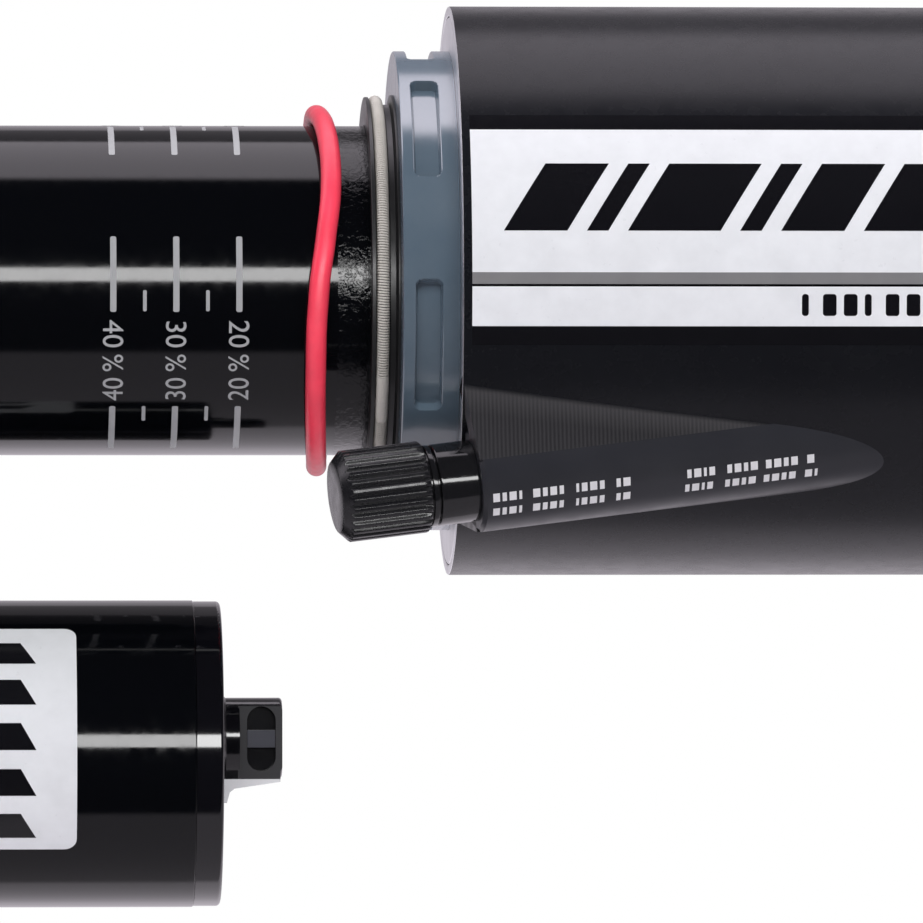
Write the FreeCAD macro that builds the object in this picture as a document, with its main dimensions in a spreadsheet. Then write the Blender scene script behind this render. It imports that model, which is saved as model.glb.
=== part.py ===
"""Rear air shock absorber for a bicycle, with a side-by-side reservoir.

The frame's origin is the centre of the head eyelet. +X runs along the shock towards the shaft
eyelet, +Z is up, the eyelet bores lie along Y, and the reservoir hangs below the damper tube.
Lengths are millimetres and angles are degrees.
"""
import FreeCAD, Part
import math
import os
import re

import Sketcher

DIMENSIONS = {
    # whole shock
    "eye_to_eye": 230.0,
    "axis_spacing": 48.5,
    "running_gap": 0.1,
    # eyelets and their bushings
    "eye_radius": 12.0,
    "eye_width": 12.7,
    "bushing_radius": 7.5,
    "bolt_bore_radius": 6.35,
    # head casting
    "head_left": 26.0,
    "head_right": 35.5,
    "head_flange_radius": 19.5,
    "cup_left": 18.0,
    "cup_radius": 18.0,
    "cup_floor": 28.8,
    "bridge_right": 35.0,
    "bridge_half_width": 14.6,
    "bridge_waist_radius": 30.0,
    "bridge_waist_y": 41.4,
    "bridge_waist_z": -26.54,
    "tube_seat": 30.0,
    "oil_port_x": 26.5,
    "oil_port_radius": 2.4,
    "head_cone_left": 14.0,
    "head_cavity_left": 24.0,
    "head_cavity_radius": 12.0,
    "bleed_x": 28.0,
    "bleed_z": 14.0,
    "bleed_radius": 2.0,
    # damper tube and air piston
    "tube_radius": 17.25,
    "tube_bore": 15.25,
    "tube_end": 128.0,
    "piston_left": 121.0,
    "piston_right": 139.0,
    "inner_can_bore": 22.0,
    "inner_can_radius": 24.0,
    "front_glide_left": 128.8,
    "front_glide_right": 130.0,
    "rear_glide_left": 136.0,
    "rear_glide_right": 137.4,
    "glide_floor": 20.9,
    "piston_groove_left": 131.4,
    "piston_groove_right": 134.6,
    "piston_groove_floor": 18.6,
    # shaft side
    "shaft_radius": 6.35,
    "shaft_left": 93.0,
    "shaft_shoulder": 109.4,
    "shaft_right": 218.0,
    "post_radius": 3.0,
    "rod_radius": 1.9,
    "guide_wall": 0.35,
    "main_piston_left": 99.2,
    "main_piston_right": 107.2,
    "main_piston_radius": 15.0,
    "band_left": 100.8,
    "band_right": 105.6,
    "band_floor": 14.4,
    "piston_shim_thickness": 0.4,
    "piston_shim_radius": 13.2,
    "piston_shim_step": 1.7,
    # reservoir
    "reservoir_radius": 16.05,
    "reservoir_bore": 13.75,
    "reservoir_end": 88.1,
    "end_cap_face": 90.9,
    "end_cap_spigot": 79.5,
    "ifp_left": 54.0,
    "ifp_right": 64.0,
    "ifp_groove_left": 57.6,
    "ifp_groove_right": 60.4,
    "ifp_groove_floor": 11.7,
    "end_groove_left": 82.5,
    "end_groove_right": 85.5,
    "end_groove_floor": 11.6,
    "base_valve_left": 34.0,
    "base_valve_right": 42.0,
    "base_shim_thickness": 0.3,
    "base_shim_radius": 9.5,
    "base_shim_step": 1.2,
    "facet_left": 92.9,
    "facet_depth": 2.6,
    "recess_x": 95.2,
    "recess_radius": 1.5,
    "recess_rise": 1.9,
    "recess_depth": 4.4,
    "lug_right": 97.4,
    "lug_radius": 4.25,
    "lug_rise": 1.6,
    "lug_web_width": 5.2,
    # air can
    "can_radius": 29.8,
    "sleeve_bore": 28.7,
    "can_rim": 114.84,
    "can_end": 208.0,
    "disc_right": 213.0,
    "flange_right": 119.0,
    "front_oring_left": 116.2,
    "front_oring_right": 118.0,
    "rear_oring_left": 204.0,
    "rear_oring_right": 205.8,
    "oring_floor": 27.3,
    # collar
    "collar_left": 108.97,
    "collar_radius": 25.1,
    "collar_right": 124.0,
    "collar_bore": 17.9,
    "collar_groove_left": 113.0,
    "collar_groove_right": 115.6,
    "collar_groove_floor": 19.6,
    "pocket_left": 110.2,
    "pocket_right": 113.05,
    "pocket_floor": 24.07,
    "pocket_slope": 0.5,
    "pocket_angle": 32.0,
    # wiper
    "wiper_left": 106.0,
    "wiper_lip_radius": 20.3,
    "wiper_neck_radius": 19.5,
    "wiper_right": 112.0,
    "wiper_waist_right": 107.88,
    "wiper_flange_radius": 20.5,
    "garter_x": 107.15,
    "garter_radius": 19.78,
    "garter_section": 0.7,
    # sag ring
    "ring_x": 101.3,
    "ring_radius": 18.4,
    "ring_section": 1.07,
    # valve
    "valve_x": 115.9,
    "valve_reach": 33.0,
    "valve_turn": 37.0,
    "valve_tilt": 11.5,
    "boss_radius": 5.35,
    "boss_length": 46.0,
    "fairing_turn": 30.2,
    "fairing_width": 9.5,
    "valve_collar_radius": 4.2,
    "valve_stem_radius": 3.85,
    "valve_bore": 2.35,
    "valve_stem_end": 12.0,
    "valve_spigot": 2.7,
    "cap_start": 5.2,
    "cap_end": 14.4,
    "cap_radius": 4.7,
    "cap_flutes": 30.0,
    # decals
    "decal_depth": 0.12,
    "can_decal_left": 115.75,
    "can_decal_right": 196.0,
    "can_decal_top": 36.3,
    "can_decal_bottom": -11.6,
    "reservoir_decal_left": 44.0,
    "reservoir_decal_right": 75.7,
    "reservoir_decal_top": 55.3,
    "reservoir_decal_bottom": -36.3,
    # adjusters
    "stem_left": 6.0,
    "stem_radius": 5.0,
    "dial_radius": 8.0,
    "lever_radius": 10.5,
    "rebound_x": 217.6,
    "rebound_radius": 4.0,
    "neck_half_height": 9.0,
}

# the collar's pockets, as angles up from the -Y side
POCKET_TURNS = (89, 43.1, -14.2, -72, -130, 172)

AXIS = FreeCAD.Vector(1, 0, 0)
UP = FreeCAD.Vector(0, 0, 1)

doc = FreeCAD.newDocument("RearShock")
sheet = doc.addObject("Spreadsheet::Sheet", "Dims")
for row, (alias, value) in enumerate(DIMENSIONS.items(), start=1):
    sheet.set(f"A{row}", alias)
    sheet.set(f"B{row}", str(value))
    sheet.setAlias(f"B{row}", alias)
doc.recompute()

sub_parts = []


def value_of(formula):
    """The number that a formula of sheet aliases gives."""
    return float(sheet.evalExpression(str(formula)))


def bound(formula):
    """The same formula, with every alias addressed through the sheet."""
    def address(word):
        return "Dims." + word.group(0) if word.group(0) in DIMENSIONS else word.group(0)
    return re.sub(r"[a-z_]+", address, str(formula))


def sub_part(feature, label):
    """Name a finished sub-part, whose label is also its file's name."""
    feature.Label = label
    sub_parts.append(feature)
    return feature


def new_body(name):
    return doc.addObject("PartDesign::Body", name + "_body")


def sketch_on(body, role, name):
    """A sketch on one of the body's own origin planes."""
    plane = next(item for item in body.Origin.OriginFeatures if item.Role == role)
    sketch = body.newObject("Sketcher::SketchObject", name)
    sketch.AttachmentSupport = [(plane, "")]
    sketch.MapMode = "FlatFace"
    return sketch


def outline(sketch, points):
    """A closed run of straight edges, each corner tied to the sheet."""
    first = sketch.GeometryCount
    places = [FreeCAD.Vector(value_of(a), value_of(b), 0) for a, b in points]
    count = len(points)
    edges = [Part.LineSegment(places[i], places[(i + 1) % count]) for i in range(count)]
    sketch.addGeometry(edges, False)
    for i, (across, up) in enumerate(points):
        edge = first + i
        following = first + (i + 1) % count
        sketch.addConstraint(Sketcher.Constraint("Coincident", edge, 2, following, 1))
        for kind, formula in (("DistanceX", across), ("DistanceY", up)):
            place = sketch.addConstraint(Sketcher.Constraint(kind, edge, 1, value_of(formula)))
            sketch.setExpression(f"Constraints[{place}]", bound(formula))


def circle(sketch, across, up, radius):
    """A circle whose centre and radius are tied to the sheet."""
    centre = FreeCAD.Vector(value_of(across), value_of(up), 0)
    edge = sketch.addGeometry(Part.Circle(centre, FreeCAD.Vector(0, 0, 1), value_of(radius)))
    constraints = (
        (Sketcher.Constraint("DistanceX", edge, 3, value_of(across)), across),
        (Sketcher.Constraint("DistanceY", edge, 3, value_of(up)), up),
        (Sketcher.Constraint("Radius", edge, value_of(radius)), radius),
    )
    for constraint, formula in constraints:
        place = sketch.addConstraint(constraint)
        sketch.setExpression(f"Constraints[{place}]", bound(formula))


def place_at(feature, along=None, up=None):
    """Tie a sub-part's place to the sheet."""
    if along is not None:
        feature.setExpression("Placement.Base.x", bound(along))
    if up is not None:
        feature.setExpression("Placement.Base.z", bound(up))


def ring_edges(shape, rings):
    """Names of the circular edges centred at each (x, radius) on the local X axis."""
    names = []
    for index, edge in enumerate(shape.Edges, start=1):
        curve = edge.Curve
        if not isinstance(curve, Part.Circle) or abs(abs(curve.Axis.x) - 1) > 1e-6:
            continue
        for along, radius in rings:
            here = abs(curve.Center.x - value_of(along)) < 1e-3
            if here and abs(curve.Radius - value_of(radius)) < 1e-3:
                names.append(f"Edge{index}")
    return names


def soften(body, kind, rings, size):
    """Fillet or chamfer the ring edges of a turned body."""
    doc.recompute()
    base = body.Tip
    names = ring_edges(base.Shape, rings)
    if not names:
        raise ValueError(f"{body.Name} has no edge at {rings}")
    feature = body.newObject("PartDesign::" + kind, body.Name + "_" + kind.lower())
    feature.Base = (base, names)
    if kind == "Fillet":
        feature.Radius = size
    else:
        feature.Size = size
    body.Tip = feature
    return feature


def turned(label, points, angle=360.0, up=None, chamfers=None, fillets=None):
    """A body turned about the local X axis from its (x, radius) outline."""
    body = new_body(label)
    sketch = sketch_on(body, "XZ_Plane", label + "_profile")
    outline(sketch, points)
    feature = body.newObject("PartDesign::Revolution", label + "_turning")
    feature.Profile = sketch
    feature.ReferenceAxis = (sketch, ["H_Axis"])
    feature.Angle = angle
    doc.recompute()
    for rings, size in (chamfers or []):
        soften(body, "Chamfer", rings, size)
    for rings, size in (fillets or []):
        soften(body, "Fillet", rings, size)
    place_at(body, up=up)
    return sub_part(body, label)


def tube(label, left, right, inner, outer, up=None, chamfer=None):
    """A plain ring or tube, with its outer edges chamfered where asked."""
    points = [(left, inner), (right, inner), (right, outer), (left, outer)]
    chamfers = [([(left, outer), (right, outer)], chamfer)] if chamfer else None
    return turned(label, points, up=up, chamfers=chamfers)


def cut_slots(body, name, points, angle, count):
    """Groove a profile through an angle about X, repeated evenly round the body."""
    before = body.Shape.Volume
    sketch = sketch_on(body, "XZ_Plane", name + "_profile")
    outline(sketch, points)
    groove = body.newObject("PartDesign::Groove", name)
    groove.Profile = sketch
    groove.ReferenceAxis = (sketch, ["H_Axis"])
    groove.Angle = angle
    groove.Midplane = True
    doc.recompute()
    pattern = body.newObject("PartDesign::PolarPattern", name + "_pattern")
    pattern.Originals = [groove]
    pattern.Axis = (sketch, ["H_Axis"])
    pattern.Angle = 360
    pattern.Occurrences = count
    body.Tip = pattern
    doc.recompute()
    if body.Shape.Volume >= before:
        raise ValueError(f"{name} cut nothing")


def cylinder(name, radius, length, base=("0", "0", "0"), axis=AXIS):
    """A Part cylinder tied to the sheet, along the given axis from its base point."""
    item = doc.addObject("Part::Cylinder", name)
    item.setExpression("Radius", bound(radius))
    item.setExpression("Height", bound(length))
    item.Placement = FreeCAD.Placement(FreeCAD.Vector(0, 0, 0), FreeCAD.Rotation(UP, axis))
    for part, formula in zip("xyz", base):
        item.setExpression("Placement.Base." + part, bound(formula))
    return item


def box(name, low, size):
    """A Part box tied to the sheet, from its low corner."""
    item = doc.addObject("Part::Box", name)
    for part, formula in zip(("Length", "Width", "Height"), size):
        item.setExpression(part, bound(formula))
    for part, formula in zip("xyz", low):
        item.setExpression("Placement.Base." + part, bound(formula))
    return item


def fuse(name, shapes):
    item = doc.addObject("Part::MultiFuse", name)
    item.Shapes = shapes
    item.Refine = True
    return item


def cut(name, base, tools):
    """The base less each of its tools in turn."""
    for step, tool in enumerate(tools):
        item = doc.addObject("Part::Cut", f"{name}_{step}")
        item.Base = base
        item.Tool = tool
        base = item
    return base


def group(label, shapes):
    """Separate solids that share one node."""
    item = doc.addObject("Part::Compound", label + "_group")
    item.Links = shapes
    return sub_part(item, label)


# ---------------------------------------------------------------- damper side

def head_casting():
    """Eyelet, flange for the damper tube, bridge and reservoir cup in one piece."""
    ring = cylinder("head_ring", "eye_radius", "eye_width", ("0", "eye_width / 2", "0"),
                    FreeCAD.Vector(0, -1, 0))
    neck = box("head_neck", ("5", "-eye_width / 2", "-neck_half_height - 2"),
               ("head_left - 3", "eye_width", "2 * neck_half_height + 4"))
    cone = doc.addObject("Part::Cone", "head_cone")
    cone.setExpression("Radius1", bound("neck_half_height"))
    cone.setExpression("Radius2", bound("head_flange_radius"))
    cone.setExpression("Height", bound("head_left - head_cone_left"))
    cone.Placement.Rotation = FreeCAD.Rotation(UP, AXIS)
    cone.setExpression("Placement.Base.x", bound("head_cone_left"))
    flange = cylinder("head_flange", "head_flange_radius", "head_right - head_left",
                      ("head_left", "0", "0"))
    cup = cylinder("head_cup", "cup_radius", "head_right - cup_left",
                   ("cup_left", "0", "-axis_spacing"))
    slab = box("bridge_slab", ("cup_left + 2", "-bridge_half_width", "-axis_spacing + 8"),
               ("bridge_right - cup_left - 2", "2 * bridge_half_width", "axis_spacing - 18.5"))
    waists = [
        cylinder(f"bridge_waist_{side}", "bridge_waist_radius", "30",
                 ("cup_left - 4", sign + "bridge_waist_y", "bridge_waist_z"))
        for side, sign in (("near", "-"), ("far", ""))
    ]
    bridge = cut("bridge", slab, waists)
    solid = fuse("head_solid", [ring, neck, cone, flange, cup, bridge])
    cavities = [
        cylinder("head_eye_bore", "bushing_radius", "eye_width + 4", ("0", "eye_width / 2 + 2", "0"),
                 FreeCAD.Vector(0, -1, 0)),
        cylinder("tube_socket", "tube_radius", "20", ("tube_seat", "0", "0")),
        cylinder("head_cavity", "head_cavity_radius", "20", ("head_cavity_left", "0", "0")),
        cylinder("cup_socket", "reservoir_radius", "20", ("cup_floor", "0", "-axis_spacing")),
        cylinder("cup_cavity", "reservoir_bore", "20", ("head_cavity_left", "0", "-axis_spacing")),
        cylinder("oil_port", "oil_port_radius", "axis_spacing", ("oil_port_x", "0", "-axis_spacing"), UP),
        cylinder("stem_hole", "post_radius", "20", ("cup_left - 5", "0", "-axis_spacing")),
        cylinder("bleed_hole", "bleed_radius", "8", ("bleed_x", "0", "bleed_z"), UP),
    ]
    sub_part(cut("head_cut", solid, cavities), "head_casting")


def eyelet_bushing(label, along):
    """Plain flanged-free bushing pressed into an eyelet, bored for the mounting bolt."""
    outer = cylinder(label + "_outer", "bushing_radius", "eye_width", (along, "eye_width / 2", "0"),
                     FreeCAD.Vector(0, -1, 0))
    bore = cylinder(label + "_bore", "bolt_bore_radius", "eye_width + 4",
                    (along, "eye_width / 2 + 2", "0"), FreeCAD.Vector(0, -1, 0))
    sub_part(cut(label + "_cut", outer, [bore]), label)


def air_piston():
    """Seal head screwed into the damper tube: it guides the shaft and seals in the inner can."""
    rim = "inner_can_bore - 0.3"
    turned("air_piston", [
        ("piston_left", "shaft_radius + guide_wall"), ("piston_right", "shaft_radius + guide_wall"),
        ("piston_right", rim), ("rear_glide_right", rim), ("rear_glide_right", "glide_floor"),
        ("rear_glide_left", "glide_floor"), ("rear_glide_left", rim), ("piston_groove_right", rim),
        ("piston_groove_right", "piston_groove_floor"), ("piston_groove_left", "piston_groove_floor"),
        ("piston_groove_left", rim), ("front_glide_right", rim), ("front_glide_right", "glide_floor"),
        ("front_glide_left", "glide_floor"), ("front_glide_left", rim), ("tube_end", rim),
        ("tube_end", "tube_bore"), ("piston_left", "tube_bore")],
        fillets=[([("piston_right", rim)], 0.5)])
    tube("air_piston_seal", "piston_groove_left + running_gap", "piston_groove_right - running_gap",
         "piston_groove_floor", "inner_can_bore - running_gap")
    rings = [tube(f"{end}_glide_ring", f"{end}_glide_left", f"{end}_glide_right", "glide_floor",
                  "inner_can_bore - running_gap") for end in ("front", "rear")]
    for ring in rings:
        sub_parts.remove(ring)
    group("piston_glide_rings", rings)


def shaft_guides():
    """The seal and bushing that the shaft runs in, both inside the air piston."""
    tube("shaft_bushing", "122", "129", "shaft_radius + running_gap", "shaft_radius + guide_wall")
    tube("shaft_seal", "131", "136", "shaft_radius + running_gap", "shaft_radius + guide_wall")


def lug_web():
    """Tapered ledge under the lug, with a short foot on the end cap's face."""
    web = new_body("lug_web")
    sketch = sketch_on(web, "XZ_Plane", "lug_web_profile")
    outline(sketch, [
        ("end_cap_face - 0.5", "-6.7"), ("91.6", "-6.7"), ("91.9", "-5.6"), ("92.4", "-5.2"),
        ("lug_right - 0.2", "-lug_radius - 0.25"), ("lug_right - 0.2", "-lug_radius + 1"),
        ("end_cap_face - 0.5", "-lug_radius + 1")])
    pad = web.newObject("PartDesign::Pad", "lug_web_pad")
    pad.Profile = sketch
    pad.setExpression("Length", bound("lug_web_width"))
    web.Tip = pad
    web.setExpression("Placement.Base.y", bound("lug_web_width / 2"))
    web.setExpression("Placement.Base.z", bound("lug_rise - axis_spacing"))
    doc.recompute()
    return web


def reservoir():
    """Tube, end cap with its lug, seals and the charge plug."""
    tube("reservoir_tube", "tube_seat", "reservoir_end", "reservoir_bore", "reservoir_radius",
         up="-axis_spacing")
    tube("reservoir_head_oring", "cup_floor", "tube_seat", "reservoir_bore + 0.3",
         "reservoir_radius", up="-axis_spacing")
    plug = turned("end_cap_disc", [
        ("end_cap_spigot", "0"), ("end_cap_face + 0.25", "0"), ("end_cap_face", "10"),
        ("end_cap_face", "reservoir_radius - 0.1"), ("reservoir_end", "reservoir_radius - 0.1"),
        ("reservoir_end", "reservoir_bore"), ("end_groove_right", "reservoir_bore"),
        ("end_groove_right", "end_groove_floor"), ("end_groove_left", "end_groove_floor"),
        ("end_groove_left", "reservoir_bore"), ("end_cap_spigot", "reservoir_bore")],
        up="-axis_spacing",
        fillets=[([("end_cap_face", "reservoir_radius - 0.1")], 0.45)])
    sub_parts.remove(plug)
    lug = turned("end_cap_lug", [
        ("end_cap_face - 1", "0"), ("lug_right", "0"), ("lug_right", "lug_radius"),
        ("91.5", "lug_radius"), ("end_cap_face", "lug_radius + 0.6"),
        ("end_cap_face - 1", "lug_radius + 0.6")],
        up="lug_rise - axis_spacing", fillets=[([("lug_right", "lug_radius")], 0.35)])
    sub_parts.remove(lug)
    facet = box("lug_facet", ("facet_left", "-12", "-axis_spacing - 6"), ("8", "12 - facet_depth", "16"))
    slot_middle = box(
        "recess_middle",
        ("recess_x - recess_radius", "-recess_depth", "lug_rise - axis_spacing - recess_rise"),
        ("2 * recess_radius", "3", "2 * recess_rise"))
    slot_ends = [
        cylinder(f"recess_{end}", "recess_radius", "3",
                 ("recess_x", "-recess_depth", f"lug_rise - axis_spacing {sign} recess_rise"),
                 FreeCAD.Vector(0, 1, 0))
        for end, sign in (("top", "+"), ("bottom", "-"))
    ]
    recess = fuse("lug_recess", [slot_middle] + slot_ends)
    body = fuse("end_cap_solid", [plug, lug, lug_web()])
    sub_part(cut("end_cap_cut", body, [facet, recess]), "reservoir_end_cap")
    tube("reservoir_end_oring", "end_groove_left + running_gap", "end_groove_right - running_gap",
         "end_groove_floor", "reservoir_bore", up="-axis_spacing")
    bar = box("charge_bar", ("recess_x - 1.45", "-2.5", "lug_rise - axis_spacing - 0.9"),
              ("2.9", "1.1", "1.8"))
    sub_part(bar, "charge_plug")
    turned("ifp_piston", [
        ("ifp_left", "0"), ("ifp_left + 4", "0"), ("ifp_left + 4", "9"), ("ifp_right", "10.5"),
        ("ifp_right", "reservoir_bore - 0.25"), ("ifp_groove_right", "reservoir_bore - 0.25"),
        ("ifp_groove_right", "ifp_groove_floor"), ("ifp_groove_left", "ifp_groove_floor"),
        ("ifp_groove_left", "reservoir_bore - 0.25"), ("ifp_left", "reservoir_bore - 0.25")],
        up="-axis_spacing")
    tube("ifp_oring", "ifp_groove_left + running_gap", "ifp_groove_right - running_gap",
         "ifp_groove_floor", "reservoir_bore - running_gap", up="-axis_spacing")


def base_valve():
    """Ported piston, shim stack and bolt that meter the oil on its way into the reservoir."""
    valve = turned("compression_valve", [
        ("base_valve_left", "post_radius"), ("base_valve_right", "post_radius"),
        ("base_valve_right", "7"), ("base_valve_right - 1.5", "13"),
        ("base_valve_right - 1.5", "reservoir_bore"), ("base_valve_left", "reservoir_bore")],
        up="-axis_spacing")
    cut_slots(valve, "base_ports", [("33", "9"), ("43", "9"), ("43", "11.5"), ("33", "11.5")], 36, 6)
    shims = [tube(f"base_shim_{n}", f"base_valve_right + {n} * base_shim_thickness",
                  f"base_valve_right + {n + 1} * base_shim_thickness", "post_radius",
                  f"base_shim_radius - {n} * base_shim_step", up="-axis_spacing") for n in range(4)]
    for shim in shims:
        sub_parts.remove(shim)
    group("compression_shims", shims)
    turned("compression_valve_bolt", [
        ("cup_left", "0"), ("46", "0"), ("46", "5"), ("43.2", "5"), ("43.2", "post_radius"),
        ("cup_left", "post_radius")], up="-axis_spacing")


def adjusters():
    """The fixed stem on the cup, and the lever, dial and screw that turn on it."""
    turned("adjuster_stem", [
        ("stem_left", "3.3"), ("cup_left - 1", "3.3"), ("cup_left - 1", "0"), ("cup_left", "0"),
        ("cup_left", "7"), ("cup_left - 1", "7"), ("cup_left - 1", "stem_radius"),
        ("stem_left", "stem_radius")], up="-axis_spacing")
    hub = tube("lever_hub", "12.6", "16.7", "stem_radius + 0.15", "lever_radius",
               up="-axis_spacing", chamfer=0.8)
    sub_parts.remove(hub)
    arm = box("lever_arm", ("13", "-4", "-axis_spacing - 23"), ("3.2", "8", "15"))
    pad = cylinder("lever_pad", "4", "3.2", ("13", "0", "-axis_spacing - 23"))
    sub_part(fuse("lever_solid", [hub, arm, pad]), "climb_lever")
    dial = turned("lsc_dial", [
        ("6.4", "stem_radius + 0.15"), ("12.2", "stem_radius + 0.15"), ("12.2", "dial_radius"),
        ("6.4", "dial_radius")], up="-axis_spacing", chamfers=[([("6.4", "dial_radius")], 0.7)])
    cut_slots(dial, "dial_grips", [("5", "dial_radius - 0.7"), ("11", "dial_radius - 0.7"),
                                   ("11", "dial_radius + 1"), ("5", "dial_radius + 1")], 10, 18)
    screw = turned("hsc_screw", [
        ("5", "0"), ("15", "0"), ("15", "3.05"), ("5", "3.05")], up="-axis_spacing",
        chamfers=[([("5", "3.05")], 0.4)])
    before = screw.Shape.Volume
    sketch = sketch_on(screw, "YZ_Plane", "hex_profile")
    corners = [(f"1.75 * cos({60 * n})", f"1.75 * sin({60 * n})") for n in range(6)]
    outline(sketch, corners)
    sketch.AttachmentOffset = FreeCAD.Placement(FreeCAD.Vector(0, 0, 5), FreeCAD.Rotation())
    socket = screw.newObject("PartDesign::Pocket", "hex_socket")
    socket.Profile = sketch
    socket.Length = 4
    socket.Reversed = True
    doc.recompute()
    if screw.Shape.Volume >= before:
        raise ValueError("the hex socket cut nothing")
    plug = cylinder("bleed_plug", "bleed_radius", "6.2", ("bleed_x", "0", "bleed_z"), UP)
    hex_hole = doc.addObject("Part::Prism", "bleed_hex")
    hex_hole.Polygon = 6
    hex_hole.Circumradius = 1.3
    hex_hole.Height = 4
    hex_hole.setExpression("Placement.Base.x", bound("bleed_x"))
    hex_hole.setExpression("Placement.Base.z", bound("bleed_z + 4"))
    sub_part(cut("bleed_cut", plug, [hex_hole]), "bleed_screw")


def sag_ring():
    """Rubber ring that marks how far the can has travelled."""
    ring = doc.addObject("Part::Torus", "sag_torus")
    ring.setExpression("Radius1", bound("ring_radius"))
    ring.setExpression("Radius2", bound("ring_section"))
    ring.Placement.Rotation = FreeCAD.Rotation(UP, AXIS)
    ring.setExpression("Placement.Base.x", bound("ring_x"))
    sub_part(ring, "sag_ring")


# ---------------------------------------------------------------- air can side

def valve_frame():
    """Placement whose +X points out of the valve, with its origin on the boss face."""
    turn = math.radians(value_of("valve_turn"))
    tilt = math.radians(value_of("valve_tilt"))
    reach = value_of("valve_reach")
    across = -math.cos(turn)
    down = -math.sin(turn)
    point = FreeCAD.Vector(value_of("valve_x"), reach * across, reach * down)
    outward = FreeCAD.Vector(-math.cos(tilt), math.sin(tilt) * across, math.sin(tilt) * down)
    radial = FreeCAD.Vector(-math.sin(tilt), -math.cos(tilt) * across, -math.cos(tilt) * down)
    basis = FreeCAD.Matrix()
    for column, axis in enumerate((outward, radial, outward.cross(radial))):
        basis.setCol(column, axis)
    placement = FreeCAD.Placement(basis)
    placement.Base = point
    return placement


def in_valve_frame(item, along=0.0):
    """Move a cylinder that runs along X so that it lies on the valve's axis."""
    shift = FreeCAD.Placement(FreeCAD.Vector(along, 0, 0), FreeCAD.Rotation(UP, AXIS))
    item.Placement = valve_frame().multiply(shift)
    return item


def plain_cylinder(name, radius, length):
    item = doc.addObject("Part::Cylinder", name)
    item.setExpression("Radius", bound(radius))
    item.setExpression("Height", bound(length))
    return item


def boss_fairing(side, low, turn):
    """Flat-sided block that runs from the boss down into the can, tangent to the boss."""
    block = doc.addObject("Part::Box", f"fairing_{side}")
    block.setExpression("Length", bound("boss_length"))
    block.setExpression("Width", bound("fairing_width"))
    block.setExpression("Height", bound("boss_radius + 3"))
    corner = FreeCAD.Vector(-value_of("boss_length"), 0, value_of(low))
    lean = FreeCAD.Rotation(AXIS, turn * value_of("fairing_turn"))
    swing = FreeCAD.Placement(FreeCAD.Vector(0, 0, 0), lean)
    block.Placement = valve_frame().multiply(swing).multiply(
        FreeCAD.Placement(corner, FreeCAD.Rotation()))
    return block


def air_sleeve():
    """Outer can with the valve boss running out along it under a machined fairing."""
    outer = cylinder("sleeve_outer", "can_radius", "can_end - can_rim", ("can_rim", "0", "0"))
    boss = in_valve_frame(plain_cylinder("valve_boss", "boss_radius", "boss_length"),
                          -value_of("boss_length"))
    fairings = [boss_fairing("upper", "-boss_radius", -1), boss_fairing("lower", "-3", 1)]
    solid = fuse("sleeve_solid", [outer, boss] + fairings)
    bore = cylinder("sleeve_hole", "sleeve_bore", "120", ("can_rim - 8", "0", "0"))
    mouth = in_valve_frame(plain_cylinder("valve_mouth", "valve_spigot + running_gap", "8.5"), -7.5)
    drilling = in_valve_frame(plain_cylinder("valve_drilling", "1.5", "10"), -16.0)
    seat = in_valve_frame(plain_cylinder("valve_seat", "valve_collar_radius + running_gap", "4"))
    sub_part(cut("sleeve_cut", solid, [bore, mouth, drilling, seat]), "air_sleeve")


def inner_can():
    """Inner can: the air piston runs in it, and its front flange closes the sleeve."""
    turned("inner_can", [
        ("can_rim", "inner_can_bore"), ("can_end", "inner_can_bore"), ("can_end", "inner_can_radius"),
        ("flange_right", "inner_can_radius"), ("flange_right", "sleeve_bore"),
        ("front_oring_right", "sleeve_bore"), ("front_oring_right", "oring_floor"),
        ("front_oring_left", "oring_floor"), ("front_oring_left", "sleeve_bore"),
        ("can_rim + 0.15", "sleeve_bore"), ("can_rim", "sleeve_bore - 0.15")])


def cut_pocket(collar, name, turn):
    """One spanner pocket in the collar's rim, at an angle up from the -Y side."""
    sketch = sketch_on(collar, "XZ_Plane", name + "_profile")
    outline(sketch, [
        ("pocket_left", "collar_radius + 0.3"), ("pocket_left", "collar_radius"),
        ("pocket_left + pocket_slope", "pocket_floor"),
        ("pocket_right - pocket_slope", "pocket_floor"),
        ("pocket_right", "collar_radius"), ("pocket_right", "collar_radius + 0.3")])
    sketch.AttachmentOffset = FreeCAD.Placement(
        FreeCAD.Vector(0, 0, 0), FreeCAD.Rotation(AXIS, 90 - turn))
    groove = collar.newObject("PartDesign::Groove", name)
    groove.Profile = sketch
    groove.ReferenceAxis = (sketch, ["H_Axis"])
    groove.Angle = value_of("pocket_angle")
    groove.Midplane = True
    collar.Tip = groove
    doc.recompute()


def can_collar():
    """Castellated collar that screws into the inner can and carries the seals."""
    collar = turned("can_collar", [
        ("collar_left", "wiper_neck_radius"), ("wiper_right", "wiper_neck_radius"),
        ("wiper_right", "collar_bore"),
        ("collar_groove_left", "collar_bore"), ("collar_groove_left", "collar_groove_floor"),
        ("collar_groove_right", "collar_groove_floor"), ("collar_groove_right", "collar_bore"),
        ("collar_right", "collar_bore"), ("collar_right", "inner_can_bore"),
        ("can_rim", "inner_can_bore"), ("can_rim", "collar_radius"),
        ("collar_left", "collar_radius")],
        chamfers=[([("collar_left", "collar_radius")], 0.12)])
    for number, turn in enumerate(POCKET_TURNS):
        cut_pocket(collar, f"pocket_{number}", turn)
    tube("collar_glide_bush", "117", "123.5", "tube_radius + running_gap", "collar_bore")
    tube("collar_air_seal", "collar_groove_left", "collar_groove_right", "tube_radius + running_gap",
         "collar_groove_floor")


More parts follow.
